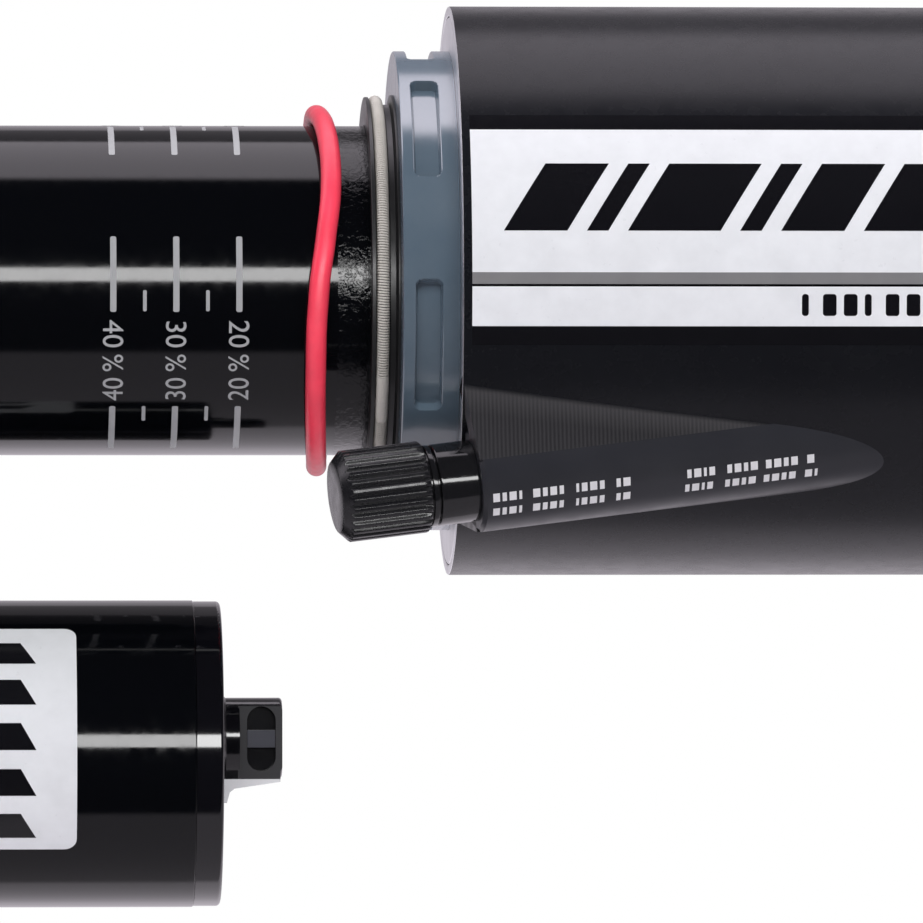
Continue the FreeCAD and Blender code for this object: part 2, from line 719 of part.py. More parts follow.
def wiper():
    """Lipped wiper in the collar's mouth, and the garter spring that closes it."""
    turned("wiper_seal", [
        ("wiper_left", "tube_radius + running_gap"), ("wiper_left", "wiper_lip_radius"),
        ("wiper_left + 0.42", "wiper_lip_radius"), ("wiper_left + 0.42", "garter_radius - 0.75"),
        ("wiper_waist_right", "garter_radius - 0.75"), ("wiper_waist_right", "wiper_neck_radius"),
        ("collar_left - 0.42", "wiper_neck_radius"), ("collar_left - 0.22", "wiper_flange_radius"),
        ("collar_left", "wiper_flange_radius"), ("collar_left", "wiper_neck_radius"),
        ("wiper_right", "wiper_neck_radius"), ("wiper_right", "18.2"),
        ("107.6", "18"), ("106.8", "tube_radius + running_gap")])
    spring = doc.addObject("Part::Torus", "garter_torus")
    spring.setExpression("Radius1", bound("garter_radius"))
    spring.setExpression("Radius2", bound("garter_section"))
    spring.Placement.Rotation = FreeCAD.Rotation(UP, AXIS)
    spring.setExpression("Placement.Base.x", bound("garter_x"))
    sub_part(spring, "garter_spring")


def can_fittings():
    """Seals and volume bands between the sleeve and the inner can."""
    seals = [tube(f"{end}_oring", f"{end}_oring_left", f"{end}_oring_right", "oring_floor", "sleeve_bore")
             for end in ("front", "rear")]
    bands = [tube(f"volume_band_{end}", left, right, "inner_can_radius", "26.6", chamfer=0.4)
             for end, left, right in (("front", "150", "170"), ("rear", "174", "194"))]
    for item in seals + bands:
        sub_parts.remove(item)
    group("sleeve_orings", seals)
    group("volume_bands", bands)


def valve():
    """Stem, core, pin and fluted cap, all turned about the valve's own axis."""
    place = valve_frame()
    stem = turned("valve_body", [
        ("-7.4", "valve_bore"), ("valve_stem_end - 0.4", "valve_bore"),
        ("valve_stem_end", "valve_bore + 0.4"), ("valve_stem_end", "valve_stem_radius"),
        ("4.9", "valve_stem_radius"), ("4.9", "valve_collar_radius"), ("4.3", "valve_collar_radius"),
        ("4.3", "3.6"), ("4.1", "3.6"), ("4.1", "valve_collar_radius"), ("0", "valve_collar_radius"),
        ("0", "valve_spigot"), ("-7.4", "valve_spigot")],
        fillets=[([("4.1", "valve_collar_radius")], 0.15)])
    core = turned("valve_core", [
        ("-3", "0.75"), ("10.6", "0.75"), ("10.6", "1.5"), ("9.6", "valve_bore"),
        ("-3", "valve_bore")])
    pin = turned("valve_pin", [
        ("-5", "0"), ("11.2", "0"), ("11.2", "0.5"), ("-3.4", "0.5"), ("-3.4", "1.6"), ("-5", "1.6")])
    cap = turned("valve_cap", [
        ("cap_start", "valve_stem_radius + 0.15"), ("cap_end - 1.4", "valve_stem_radius + 0.15"),
        ("cap_end - 1.4", "0"), ("cap_end", "0"), ("cap_end", "4"), ("cap_end - 1.3", "cap_radius"),
        ("cap_start", "cap_radius")],
        fillets=[([("cap_end", "4")], 0.25)])
    cut_slots(cap, "cap_grips", [
        ("cap_start - 1", "cap_radius - 0.28"), ("cap_end - 1.7", "cap_radius - 0.28"),
        ("cap_end - 1.2", "cap_radius + 0.4"), ("cap_start - 1", "cap_radius + 0.4")],
        5.4, int(value_of("cap_flutes")))
    for item in (stem, core, pin, cap):
        item.Placement = place


def decal(label, left, right, radius, low, high, up=None):
    """Thin skin over part of a tube, between two angles up from the -Y side."""
    span = value_of(high) - value_of(low)
    skin = turned(label, [
        (left, radius), (right, radius), (right, radius + " + decal_depth"),
        (left, radius + " + decal_depth")], angle=span, up=up)
    base = skin.Placement.Base
    turn = value_of(high) - 90
    skin.Placement = FreeCAD.Placement(base, FreeCAD.Rotation(AXIS, -turn))


def shaft_eyelet():
    """End cap of the can, drawn out to the rear eyelet."""
    disc = turned("eyelet_disc", [
        ("can_end - 6", "inner_can_radius"), ("can_end - 6", "27.9"), ("rear_oring_left", "27.9"),
        ("rear_oring_left", "oring_floor"), ("rear_oring_right", "oring_floor"),
        ("rear_oring_right", "sleeve_bore"), ("can_end", "sleeve_bore"),
        ("can_end", "can_radius"), ("disc_right", "can_radius"), ("disc_right", "0"), ("can_end", "0"),
        ("can_end", "inner_can_radius")],
        fillets=[([("disc_right", "can_radius")], 1.6)])
    sub_parts.remove(disc)
    ring = cylinder("rear_ring", "eye_radius", "eye_width", ("eye_to_eye", "eye_width / 2", "0"),
                    FreeCAD.Vector(0, -1, 0))
    neck = box("rear_neck", ("disc_right - 1", "-eye_width / 2", "-neck_half_height"),
               ("eye_to_eye - disc_right - 4", "eye_width", "2 * neck_half_height"))
    solid = fuse("rear_solid", [disc, ring, neck])
    cavities = [
        cylinder("rear_eye_bore", "bushing_radius", "eye_width + 4",
                 ("eye_to_eye", "eye_width / 2 + 2", "0"), FreeCAD.Vector(0, -1, 0)),
        cylinder("shaft_socket", "shaft_radius", "40", ("shaft_right - 40", "0", "0")),
        cylinder("rebound_hole", "1.6", "9", ("rebound_x", "0", "-neck_half_height - 1"), UP),
        cylinder("bottom_out_hole", "1.6", "9", ("rebound_x", "0", "neck_half_height - 8"), UP),
    ]
    sub_part(cut("rear_cut", solid, cavities), "shaft_eyelet")


def shaft_group():
    """Hollow shaft, its rod, and the damping piston with its shim stacks."""
    turned("damper_shaft", [
        ("shaft_left", "rod_radius + 0.3"), ("shaft_right", "rod_radius + 0.3"),
        ("shaft_right", "shaft_radius"), ("shaft_shoulder", "shaft_radius"),
        ("shaft_shoulder", "post_radius"), ("shaft_left", "post_radius")])
    turned("rebound_rod", [
        ("shaft_left + 1", "0"), ("shaft_right", "0"), ("shaft_right", "rod_radius"),
        ("shaft_left + 3", "rod_radius"), ("shaft_left + 1", "0.6")])
    piston = turned("main_piston", [
        ("main_piston_left", "post_radius"), ("main_piston_right", "post_radius"),
        ("main_piston_right", "main_piston_radius"), ("band_right", "main_piston_radius"),
        ("band_right", "band_floor"), ("band_left", "band_floor"),
        ("band_left", "main_piston_radius"), ("main_piston_left", "main_piston_radius")])
    cut_slots(piston, "piston_ports", [("98", "8"), ("108", "8"), ("108", "12"), ("98", "12")], 34, 6)
    tube("main_piston_band", "band_left", "band_right", "band_floor", "tube_bore - running_gap")
    stacks = (("compression_piston_shims", "main_piston_right", 0, 1),
              ("rebound_shims", "main_piston_left", -1, -1))
    for label, face, first, way in stacks:
        discs = []
        for n in range(5):
            left = f"{face} + {first + way * n} * piston_shim_thickness"
            disc = tube(f"{label}_{n}", left, left + " + piston_shim_thickness", "post_radius",
                        f"piston_shim_radius - {n} * piston_shim_step")
            sub_parts.remove(disc)
            discs.append(disc)
        group(label, discs)
    nut = new_body("piston_nut")
    sketch = sketch_on(nut, "YZ_Plane", "nut_profile")
    outline(sketch, [(f"5.8 * cos({60 * n})", f"5.8 * sin({60 * n})") for n in range(6)])
    circle(sketch, "0", "0", "post_radius")
    pad = nut.newObject("PartDesign::Pad", "nut_pad")
    pad.Profile = sketch
    pad.Length = 3.6
    place_at(nut, along="shaft_left + 0.4")
    sub_part(nut, "piston_nut")
    tube("top_out_bumper", "shaft_shoulder + 0.4", "117.5", "shaft_radius", "11", chamfer=0.8)
    tube("bottom_out_bumper", "204.6", "can_end", "shaft_radius", "13", chamfer=0.8)


def knob(label, radius, low, height, grips):
    """Knurled knob on a vertical axis beside the rear neck."""
    body = new_body(label)
    sketch = sketch_on(body, "XY_Plane", label + "_profile")
    circle(sketch, "0", "0", radius)
    pad = body.newObject("PartDesign::Pad", label + "_pad")
    pad.Profile = sketch
    pad.Length = height
    doc.recompute()
    if grips:
        before = body.Shape.Volume
        notch = sketch_on(body, "XY_Plane", label + "_notch")
        circle(notch, radius + " + 0.2", "0", "0.6")
        pocket = body.newObject("PartDesign::Pocket", label + "_pocket")
        pocket.Profile = notch
        pocket.Length = height
        pocket.Reversed = True
        doc.recompute()
        pattern = body.newObject("PartDesign::PolarPattern", label + "_pattern")
        pattern.Originals = [pocket]
        pattern.Axis = (notch, ["N_Axis"])
        pattern.Angle = 360
        pattern.Occurrences = grips
        body.Tip = pattern
        doc.recompute()
        if body.Shape.Volume >= before:
            raise ValueError(f"{label} has no grips")
    place_at(body, along="rebound_x", up=low)
    return sub_part(body, label)


def rear_adjusters():
    """Rebound dial under the rear neck and the bottom-out screw above it."""
    knob("rebound_dial", "rebound_radius", "-neck_half_height - 4.6", 4.4, 14)
    screw = knob("bottom_out_base", "3.6", "neck_half_height + 0.2", 3.0, 0)
    sub_parts.remove(screw)
    socket = doc.addObject("Part::Prism", "bottom_out_hex")
    socket.Polygon = 6
    socket.Circumradius = 2.0
    socket.Height = 3
    socket.setExpression("Placement.Base.x", bound("rebound_x"))
    socket.setExpression("Placement.Base.z", bound("neck_half_height + 1.4"))
    sub_part(cut("bottom_out_cut", screw, [socket]), "bottom_out_screw")


def build():
    head_casting()
    eyelet_bushing("head_eyelet_bushing", "0")
    tube("damper_tube", "tube_seat", "tube_end", "tube_bore", "tube_radius")
    air_piston()
    shaft_guides()
    reservoir()
    base_valve()
    adjusters()
    sag_ring()
    air_sleeve()
    inner_can()
    can_collar()
    wiper()
    can_fittings()
    valve()
    decal("can_decal", "can_decal_left", "can_decal_right", "can_radius", "can_decal_bottom",
          "can_decal_top")
    decal("reservoir_decal", "reservoir_decal_left", "reservoir_decal_right", "reservoir_radius",
          "reservoir_decal_bottom", "reservoir_decal_top", up="-axis_spacing")
    shaft_eyelet()
    eyelet_bushing("shaft_eyelet_bushing", "eye_to_eye")
    shaft_group()
    rear_adjusters()
    doc.recompute()


def check():
    """Stop on any failed object or bad shape."""
    for item in doc.Objects:
        if "Invalid" in item.State or "Error" in item.State:
            raise ValueError(f"{item.Name} failed: {item.State}")
    for item in sub_parts:
        if item.Shape.isNull() or not item.Shape.isValid() or not item.Shape.Solids:
            raise ValueError(f"{item.Label} has no valid shape")


def export():
    os.makedirs("parts", exist_ok=True)
    for item in sub_parts:
        item.Shape.exportStep(os.path.join("parts", item.Label + ".step"))
    print(len(sub_parts), "sub-parts written")


build()
check()
export()
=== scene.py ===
"""Looks of the bicycle rear air shock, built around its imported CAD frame.

The frame's origin is the centre of the head eyelet, +X runs along the shock and +Z is up.
Sizes below are millimetres unless they say otherwise; MM turns them into metres.
Angles round the shock count up from the -Y side, which faces the camera.
"""
import math

import bmesh
import bpy
from mathutils import Matrix, Vector


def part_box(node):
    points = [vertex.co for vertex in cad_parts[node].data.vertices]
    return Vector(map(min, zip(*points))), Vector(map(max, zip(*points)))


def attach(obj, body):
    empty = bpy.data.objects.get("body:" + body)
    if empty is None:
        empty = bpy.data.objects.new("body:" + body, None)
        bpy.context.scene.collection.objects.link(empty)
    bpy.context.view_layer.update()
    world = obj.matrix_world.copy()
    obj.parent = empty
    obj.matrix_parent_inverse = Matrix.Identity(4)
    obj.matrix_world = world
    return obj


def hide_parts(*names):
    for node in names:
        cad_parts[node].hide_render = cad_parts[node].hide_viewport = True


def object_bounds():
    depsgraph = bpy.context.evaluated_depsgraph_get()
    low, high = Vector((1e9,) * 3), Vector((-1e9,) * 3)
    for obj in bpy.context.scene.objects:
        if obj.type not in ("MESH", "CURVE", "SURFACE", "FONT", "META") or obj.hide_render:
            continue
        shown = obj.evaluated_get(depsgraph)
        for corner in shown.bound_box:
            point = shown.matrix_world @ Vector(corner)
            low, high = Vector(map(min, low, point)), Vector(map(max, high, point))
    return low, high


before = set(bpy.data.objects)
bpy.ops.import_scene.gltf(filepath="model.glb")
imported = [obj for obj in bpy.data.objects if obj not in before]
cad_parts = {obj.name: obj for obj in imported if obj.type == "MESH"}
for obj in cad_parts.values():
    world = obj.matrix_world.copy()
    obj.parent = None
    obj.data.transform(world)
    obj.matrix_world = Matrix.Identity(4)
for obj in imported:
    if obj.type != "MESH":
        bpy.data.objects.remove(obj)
cad_low, cad_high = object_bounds()

MM = 0.001
SHOCK_SIDE = "damper_side"
CAN_SIDE = "air_can"


def size_of(node):
    """A CAD node's lowest and highest corners in millimetres."""
    low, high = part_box(node)
    return low / MM, high / MM


TUBE_LOW, TUBE_HIGH = size_of("damper_tube")
TUBE_R = TUBE_HIGH.z
SLEEVE_HIGH = size_of("air_sleeve")[1]
CAN_R = SLEEVE_HIGH.z
CAN_END = SLEEVE_HIGH.x
INNER_LOW, INNER_HIGH = size_of("inner_can")
RIM_X = INNER_LOW.x
SLEEVE_BORE = INNER_HIGH.z
COLLAR_LOW, COLLAR_HIGH = size_of("can_collar")
COLLAR_X = COLLAR_LOW.x
COLLAR_R = COLLAR_HIGH.z
WIPER_X = size_of("wiper_seal")[0].x
RES_LOW, RES_HIGH = size_of("reservoir_tube")
RES_Z = (RES_LOW.z + RES_HIGH.z) / 2
RES_R = (RES_HIGH.z - RES_LOW.z) / 2
RING_LOW, RING_HIGH = size_of("sag_ring")
GARTER_LOW, GARTER_HIGH = size_of("garter_spring")
DECAL_LOW, DECAL_HIGH = size_of("can_decal")
RES_DECAL_LOW, RES_DECAL_HIGH = size_of("reservoir_decal")
LUG_Z = RES_Z + 1.6
LUG_R = 4.25
CAP_FACE_X = 90.9
INNER_CAN_BORE = 22.0
WIPER_SEAT_END = 112.0
FILM_LEFT = 102.6
STROKE = 65.0
SCALE_TURNS = (0, 126.7, 243.3)


# ---------------------------------------------------------------- material building

class Shader:
    """A material's node tree with short calls for the nodes used here."""

    def __init__(self, name, color, metallic=0.0, roughness=0.5, **sockets):
        self.material = bpy.data.materials.new(name)
        self.material.use_nodes = True
        self.tree = self.material.node_tree
        self.bsdf = self.tree.nodes["Principled BSDF"]
        self.bsdf.inputs["Base Color"].default_value = (*color, 1)
        self.bsdf.inputs["Metallic"].default_value = metallic
        self.bsdf.inputs["Roughness"].default_value = roughness
        for socket, value in sockets.items():
            self.bsdf.inputs[socket.replace("_", " ")].default_value = value
        self.place = self.node("ShaderNodeTexCoord").outputs["Object"]

    def node(self, kind, **settings):
        made = self.tree.nodes.new(kind)
        for key, value in settings.items():
            setattr(made, key, value)
        return made

    def link(self, source, target):
        self.tree.links.new(source, target)

    def put(self, socket, value):
        """Link an output, or set a number."""
        if isinstance(value, bpy.types.NodeSocket):
            self.link(value, socket)
        else:
            socket.default_value = value

    def math(self, operation, first, second=0.0):
        made = self.node("ShaderNodeMath", operation=operation)
        self.put(made.inputs[0], first)
        self.put(made.inputs[1], second)
        return made.outputs[0]

    def axes(self):
        split = self.node("ShaderNodeSeparateXYZ")
        self.link(self.place, split.inputs[0])
        return split.outputs

    def around(self, along_scale, angle_scale):
        """Coordinates that run along X and round the shock's own axis."""
        x, y, z = self.axes()
        angle = self.math("ARCTAN2", z, y)
        joined = self.node("ShaderNodeCombineXYZ")
        self.link(self.math("MULTIPLY", x, along_scale), joined.inputs[0])
        self.link(self.math("MULTIPLY", angle, angle_scale), joined.inputs[1])
        return joined.outputs[0]

    def noise(self, scale, detail, vector=None, distortion=0.0):
        made = self.node("ShaderNodeTexNoise")
        self.link(vector or self.place, made.inputs["Vector"])
        made.inputs["Scale"].default_value = scale
        made.inputs["Detail"].default_value = detail
        made.inputs["Roughness"].default_value = 0.6
        made.inputs["Distortion"].default_value = distortion
        return made.outputs["Fac"]

    def spread(self, source, low, high, to_low, to_high):
        made = self.node("ShaderNodeMapRange")
        self.link(source, made.inputs["Value"])
        made.inputs["From Min"].default_value = low
        made.inputs["From Max"].default_value = high
        made.inputs["To Min"].default_value = to_low
        made.inputs["To Max"].default_value = to_high
        return made.outputs[0]

    def tint(self, source, low, high, first, second):
        """Base colour that goes from one colour to another as the source rises."""
        mixed = self.node("ShaderNodeMix", data_type="RGBA")
        self.link(self.spread(source, low, high, 0, 1), mixed.inputs["Factor"])
        mixed.inputs["A"].default_value = (*first, 1)
        mixed.inputs["B"].default_value = (*second, 1)
        self.link(mixed.outputs["Result"], self.bsdf.inputs["Base Color"])

    def rough(self, source, low, high, to_low, to_high):
        self.link(self.spread(source, low, high, to_low, to_high), self.bsdf.inputs["Roughness"])

    def bump(self, source, depth, strength=1.0):
        """Bump of the given depth in millimetres; a second call adds to the first."""
        made = self.node("ShaderNodeBump")
        made.inputs["Strength"].default_value = strength
        made.inputs["Distance"].default_value = depth * MM
        self.link(source, made.inputs["Height"])
        already = self.bsdf.inputs["Normal"].links
        if already:
            self.link(already[0].from_socket, made.inputs["Normal"])
        self.link(made.outputs[0], self.bsdf.inputs["Normal"])


def gloss_black():
    """Polished black hard coat with faint handling marks and a greasy film by the wiper."""
    s = Shader("gloss_black", (0.001, 0.0012, 0.0018), roughness=0.08, IOR=1.43)
    mist = s.noise(900, 6)
    s.rough(mist, 0.35, 0.75, 0.07, 0.13)
    s.bump(s.noise(260, 3), 0.004, 0.5)
    x = s.axes()[0]
    near_wiper = s.math("MULTIPLY", s.math("GREATER_THAN", x, FILM_LEFT * MM),
                        s.math("LESS_THAN", x, (WIPER_X + 1) * MM))
    film = s.noise(1500, 4, distortion=1.0)
    drops = s.spread(film, 0.44, 0.62, 0, 1)
    s.bump(s.math("MULTIPLY", drops, near_wiper), 0.016, 0.8)
    return s.material


def reservoir_black():
    """The same hard coat on the reservoir, with its own fine marks."""
    s = Shader("reservoir_black", (0.001, 0.0012, 0.0018), roughness=0.07, IOR=1.43)
    s.rough(s.noise(700, 6), 0.35, 0.75, 0.05, 0.13)
    s.bump(s.noise(240, 3), 0.004, 0.5)
    return s.material


def end_cap():
    """Black hard coat whose milled lug face was left a duller grey, with a painted pale reflection of
    the floor below the lug.
    """
    s = Shader("end_cap", (0.003, 0.003, 0.004), roughness=0.16, IOR=1.6)
    facet_x, facet_y, margin = 92.9, -2.6, 0.15
    x, y, z = s.axes()
    milled = s.math("MULTIPLY", s.math("GREATER_THAN", x, (facet_x - margin) * MM),
                    s.math("MULTIPLY", s.math("GREATER_THAN", y, (facet_y - margin) * MM),
                           s.math("LESS_THAN", y, (facet_y + margin) * MM)))
    lug_x = s.math("GREATER_THAN", x, (CAP_FACE_X + 0.05) * MM)
    # Painted reflection: everything past the cap face and below the lug is painted pale grey, standing
    # in for the white floor reflected in the lug's underside.
    painted_floor_reflection = s.math("MULTIPLY", lug_x, s.math("LESS_THAN", z, (LUG_Z - LUG_R + 0.05) * MM))
    tone_with_painted_light = s.math("ADD", s.math("MULTIPLY", milled, 0.06), painted_floor_reflection)
    # The pale end of this tint is the painted floor reflection; the milled face takes only a little of
    # it.
    s.tint(tone_with_painted_light, 0, 1, (0.002, 0.002, 0.003), (0.48, 0.48, 0.50))
    s.rough(s.math("MULTIPLY", lug_x, s.noise(300, 5)), 0.0, 0.7, 0.07, 0.13)
    s.bump(s.math("MULTIPLY", lug_x, s.noise(800, 3)), 0.02, 0.6)
    return s.material


def can_satin():
    """Fine blasted and anodised black of the air can."""
    s = Shader("can_satin", (0.006, 0.0065, 0.0085), roughness=0.26, IOR=1.32)
    s.tint(s.noise(60, 3), 0.3, 0.7, (0.007, 0.0075, 0.010), (0.009, 0.0098, 0.0125))
    s.rough(s.noise(500, 5), 0.3, 0.7, 0.23, 0.30)
    s.bump(s.noise(5200, 2), 0.006, 0.55)
    return s.material


def fairing_lines():
    """Black anodising over the fine passes a cutter leaves across the boss's flanks, with a painted
    sheen where the flank runs into the can.
    """
    s = Shader("fairing_lines", (0.03, 0.03, 0.034), roughness=0.36, IOR=1.5)
    pitch = 0.42
    x, y, z = s.axes()
    wander = s.math("MULTIPLY", s.noise(500, 3), 0.9)
    passes = s.math("SINE", s.math("ADD", s.math("MULTIPLY", x, math.tau / (pitch * MM)), wander))
    radius = s.math("SQRT", s.math("ADD", s.math("MULTIPLY", y, y), s.math("MULTIPLY", z, z)))
    blend = s.spread(radius, CAN_R * MM, (CAN_R + 0.45) * MM, 0, 1)
    # Painted highlight: the flank is painted lighter near the can's surface and darker away from it,
    # standing in for light on the soft fillet where it meets the can.
    depth = s.spread(radius, (CAN_R + 0.2) * MM, (CAN_R + 2.2) * MM, 1, 0)
    tone_with_painted_light = s.math("MULTIPLY", blend, s.math("ADD", s.math("MULTIPLY", depth, 0.45),
                                            s.spread(passes, -1, 1, 0.25, 0.6)))
    s.tint(tone_with_painted_light, 0, 1, (0.008, 0.0085, 0.011), (0.062, 0.060, 0.064))
    s.rough(passes, -1, 1, 0.3, 0.42)
    s.bump(passes, 0.004, 0.5)
    return s.material


def boss_satin():
    """The boss is blasted coarser than the can, so it reads a little lighter."""
    s = Shader("boss_satin", (0.026, 0.027, 0.033), roughness=0.36, IOR=1.36)
    s.tint(s.noise(70, 3), 0.3, 0.7, (0.023, 0.024, 0.030), (0.031, 0.032, 0.038))
    s.rough(s.noise(500, 5), 0.3, 0.7, 0.32, 0.42)
    s.bump(s.noise(5200, 2), 0.006, 0.55)
    return s.material


def collar_anodised():
    """Blue-grey anodised, with circular turning lines."""
    s = Shader("collar_anodised", (0.11, 0.155, 0.20), roughness=0.16, IOR=2.5)
    lines = s.noise(1, 4, s.around(9000, 6))
    clouds = s.noise(180, 4)
    s.tint(clouds, 0.3, 0.7, (0.100, 0.145, 0.190), (0.120, 0.165, 0.210))
    s.rough(lines, 0.3, 0.7, 0.14, 0.20)
    s.bump(lines, 0.0015, 0.4)
    return s.material


def cast_black():
    """Black anodised forging: even, with a soft sheen and worn-looking clouds."""
    s = Shader("cast_black", (0.012, 0.012, 0.014), roughness=0.32, IOR=1.6)
    s.tint(s.noise(90, 4), 0.3, 0.7, (0.010, 0.010, 0.012), (0.018, 0.018, 0.020))
    s.rough(s.noise(400, 5), 0.3, 0.7, 0.26, 0.4)
    s.bump(s.noise(3000, 3), 0.008, 0.5)
    return s.material


def bare_metal(name, color, roughness):
    """Turned bare metal with circular tool lines."""
    s = Shader(name, color, metallic=1.0, roughness=roughness)
    lines = s.noise(1, 4, s.around(7000, 5))
    dull = tuple(channel * 0.86 for channel in color)
    s.tint(s.noise(150, 4), 0.3, 0.7, dull, color)
    s.rough(lines, 0.3, 0.7, roughness * 0.8, roughness * 1.3)
    s.bump(lines, 0.004, 0.5)
    return s.material


def moulded(name, color, roughness, depth=0.01):
    """Rubber or plastic with a fine moulded skin."""
    s = Shader(name, color, roughness=roughness)
    dull = tuple(channel * 0.8 for channel in color)
    s.tint(s.noise(200, 4), 0.3, 0.7, dull, color)
    s.rough(s.noise(900, 4), 0.3, 0.7, roughness * 0.85, min(1.0, roughness * 1.2))
    s.bump(s.noise(2500, 3), depth, 0.6)
    return s.material


def ink(name, color, roughness=0.35, metallic=0.0):
    """Printed or etched film with slight unevenness."""
    s = Shader(name, color, metallic=metallic, roughness=roughness)
    dull = tuple(channel * 0.93 for channel in color)
    s.tint(s.noise(350, 3), 0.3, 0.7, dull, color)
    s.rough(s.noise(1200, 3), 0.3, 0.7, roughness * 0.85, roughness * 1.15)
    s.bump(s.noise(2400, 2), 0.002, 0.4)
    return s.material


MATERIALS = {
    "gloss_black": gloss_black(),
    "reservoir_black": reservoir_black(),
    "end_cap": end_cap(),
    "can_satin": can_satin(),
    "fairing_lines": fairing_lines(),
    "boss_satin": boss_satin(),
    "collar": collar_anodised(),
    "cast_black": cast_black(),
    "bright": bare_metal("bright", (0.86, 0.87, 0.89), 0.34),
    "chrome": bare_metal("chrome", (0.75, 0.75, 0.77), 0.1),
    "garter": moulded("garter", (0.66, 0.63, 0.58), 0.3, depth=0.001),
    "steel": bare_metal("steel", (0.50, 0.50, 0.51), 0.3),
    "dark_steel": moulded("dark_steel", (0.085, 0.088, 0.105), 0.35),
    "brass": bare_metal("brass", (0.72, 0.50, 0.20), 0.28),
    "red_metal": bare_metal("red_metal", (0.55, 0.02, 0.03), 0.3),
    "blue_metal": bare_metal("blue_metal", (0.02, 0.10, 0.45), 0.3),
    "rubber": moulded("rubber", (0.012, 0.012, 0.013), 0.34),
    "red_rubber": moulded("red_rubber", (0.73, 0.042, 0.080), 0.38),
    "bearing": moulded("bearing", (0.12, 0.07, 0.045), 0.5),
    "cap_plastic": moulded("cap_plastic", (0.006, 0.006, 0.0075), 0.27),
    "valve_gloss": moulded("valve_gloss", (0.006, 0.006, 0.007), 0.10, depth=0.002),
    "white_film": ink("white_film", (0.83, 0.85, 0.88), 0.32),
    "black_film": ink("black_film", (0.006, 0.006, 0.008), 0.18),
    "grey_film": ink("grey_film", (0.36, 0.36, 0.37), 0.4, 0.4),
    "etched": ink("etched", (0.40, 0.41, 0.42), 0.5),
    "boss_ink": ink("boss_ink", (0.72, 0.72, 0.74), 0.5),
}

NODE_LOOKS = {
    "cast_black": ["head_casting", "shaft_eyelet", "adjuster_stem"],
    "bright": ["inner_can", "air_piston", "compression_valve", "main_piston", "ifp_piston",
               "volume_bands"],
    "chrome": ["damper_shaft"],
    "steel": ["compression_shims", "compression_valve_bolt", "bleed_screw", "rebound_rod",
              "compression_piston_shims", "rebound_shims", "piston_nut", "hsc_screw",
              "valve_pin", "bottom_out_screw"],
    "dark_steel": ["charge_plug"],
    "brass": ["valve_core"],
    "rubber": ["air_piston_seal", "shaft_seal", "reservoir_head_oring", "reservoir_end_oring",
               "collar_air_seal", "sleeve_orings", "top_out_bumper", "bottom_out_bumper",
               "ifp_oring", "wiper_seal"],
    "red_rubber": ["sag_ring"],
    "bearing": ["piston_glide_rings", "shaft_bushing", "collar_glide_bush", "main_piston_band",
                "head_eyelet_bushing", "shaft_eyelet_bushing"],
    "cap_plastic": ["valve_cap"],
    "valve_gloss": ["valve_body"],
    "red_metal": ["rebound_dial"],
    "blue_metal": ["climb_lever", "lsc_dial"],
    "gloss_black": ["damper_tube"],
    "reservoir_black": ["reservoir_tube"],
    "end_cap": ["reservoir_end_cap"],
    "can_satin": ["air_sleeve"],
    "collar": ["can_collar"],
    "garter": ["garter_spring"],
    "white_film": ["can_decal", "reservoir_decal"],
}


def dress_nodes():
    """Give every CAD node its material."""
    for look, nodes in NODE_LOOKS.items():
        for node in nodes:
            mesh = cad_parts[node].data
            mesh.materials.clear()
            mesh.materials.append(MATERIALS[look])


# ---------------------------------------------------------------- mesh building

def finish_mesh(name, mesh, looks, body, replaced=(), sharp=32):
    """Shade, place and register a piece; looks are material names in slot order."""
    mesh.shade_smooth()
    mesh.set_sharp_from_angle(angle=math.radians(sharp))
    for look in looks:
        mesh.materials.append(MATERIALS[look])
    piece = bpy.data.objects.new(name, mesh)
    bpy.context.scene.collection.objects.link(piece)
    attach(piece, body)
    if replaced:
        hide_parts(*replaced)
    return piece


def on_tube(x, radius, degrees, centre_z=0.0):
    """A point, in metres, at a place x, a radius and an angle round an axis along X."""
    turn = math.radians(degrees)
    return Vector((x, -radius * math.cos(turn), centre_z + radius * math.sin(turn))) * MM


def rounded(corners, radius=0.15, steps=4):
    """The outline with each corner turned into an arc of at most that radius."""
    points = []
    count = len(corners)
    for i, corner in enumerate(corners):
        here = Vector(corner[:2])
        before = Vector(corners[i - 1][:2]) - here
        after = Vector(corners[(i + 1) % count][:2]) - here
        want = corner[2] if len(corner) > 2 else radius
        if want <= 0 or before.length < 1e-6 or after.length < 1e-6:
            points.append(here)
            continue
        half = before.angle(after) / 2
        if half > math.radians(86):
            points.append(here)
            continue
        reach = min(want / math.tan(half), before.length * 0.45, after.length * 0.45)
        first = here + before.normalized() * reach
        last = here + after.normalized() * reach
        for step in range(steps + 1):
            t = step / steps
            points.append(first * (1 - t) ** 2 + here * 2 * t * (1 - t) + last * t ** 2)
    return points


def lathe(outline, centre_z=0.0, segments=360, warp=None):
    """A mesh turned about an axis along X from a closed (x, radius) outline."""
    mesh = bpy.data.meshes.new("turned")
    verts = []
    faces = []
    count = len(outline)
    for i in range(segments):
        degrees = 360 * i / segments
        for x, radius in outline:
            if warp:
                x, radius = warp(x, radius, degrees)
            verts.append(on_tube(x, radius, degrees, centre_z))
    for i in range(segments):
        for j in range(count):
            a = i * count + j
            b = i * count + (j + 1) % count
            c = ((i + 1) % segments) * count + (j + 1) % count
            d = ((i + 1) % segments) * count + j
            faces.append((a, b, c, d))
    mesh.from_pydata(verts, [], faces)
    tidy = bmesh.new()
    tidy.from_mesh(mesh)
    bmesh.ops.remove_doubles(tidy, verts=tidy.verts, dist=1e-7)
    bmesh.ops.recalc_face_normals(tidy, faces=tidy.faces)
    tidy.to_mesh(mesh)
    tidy.free()
    return mesh


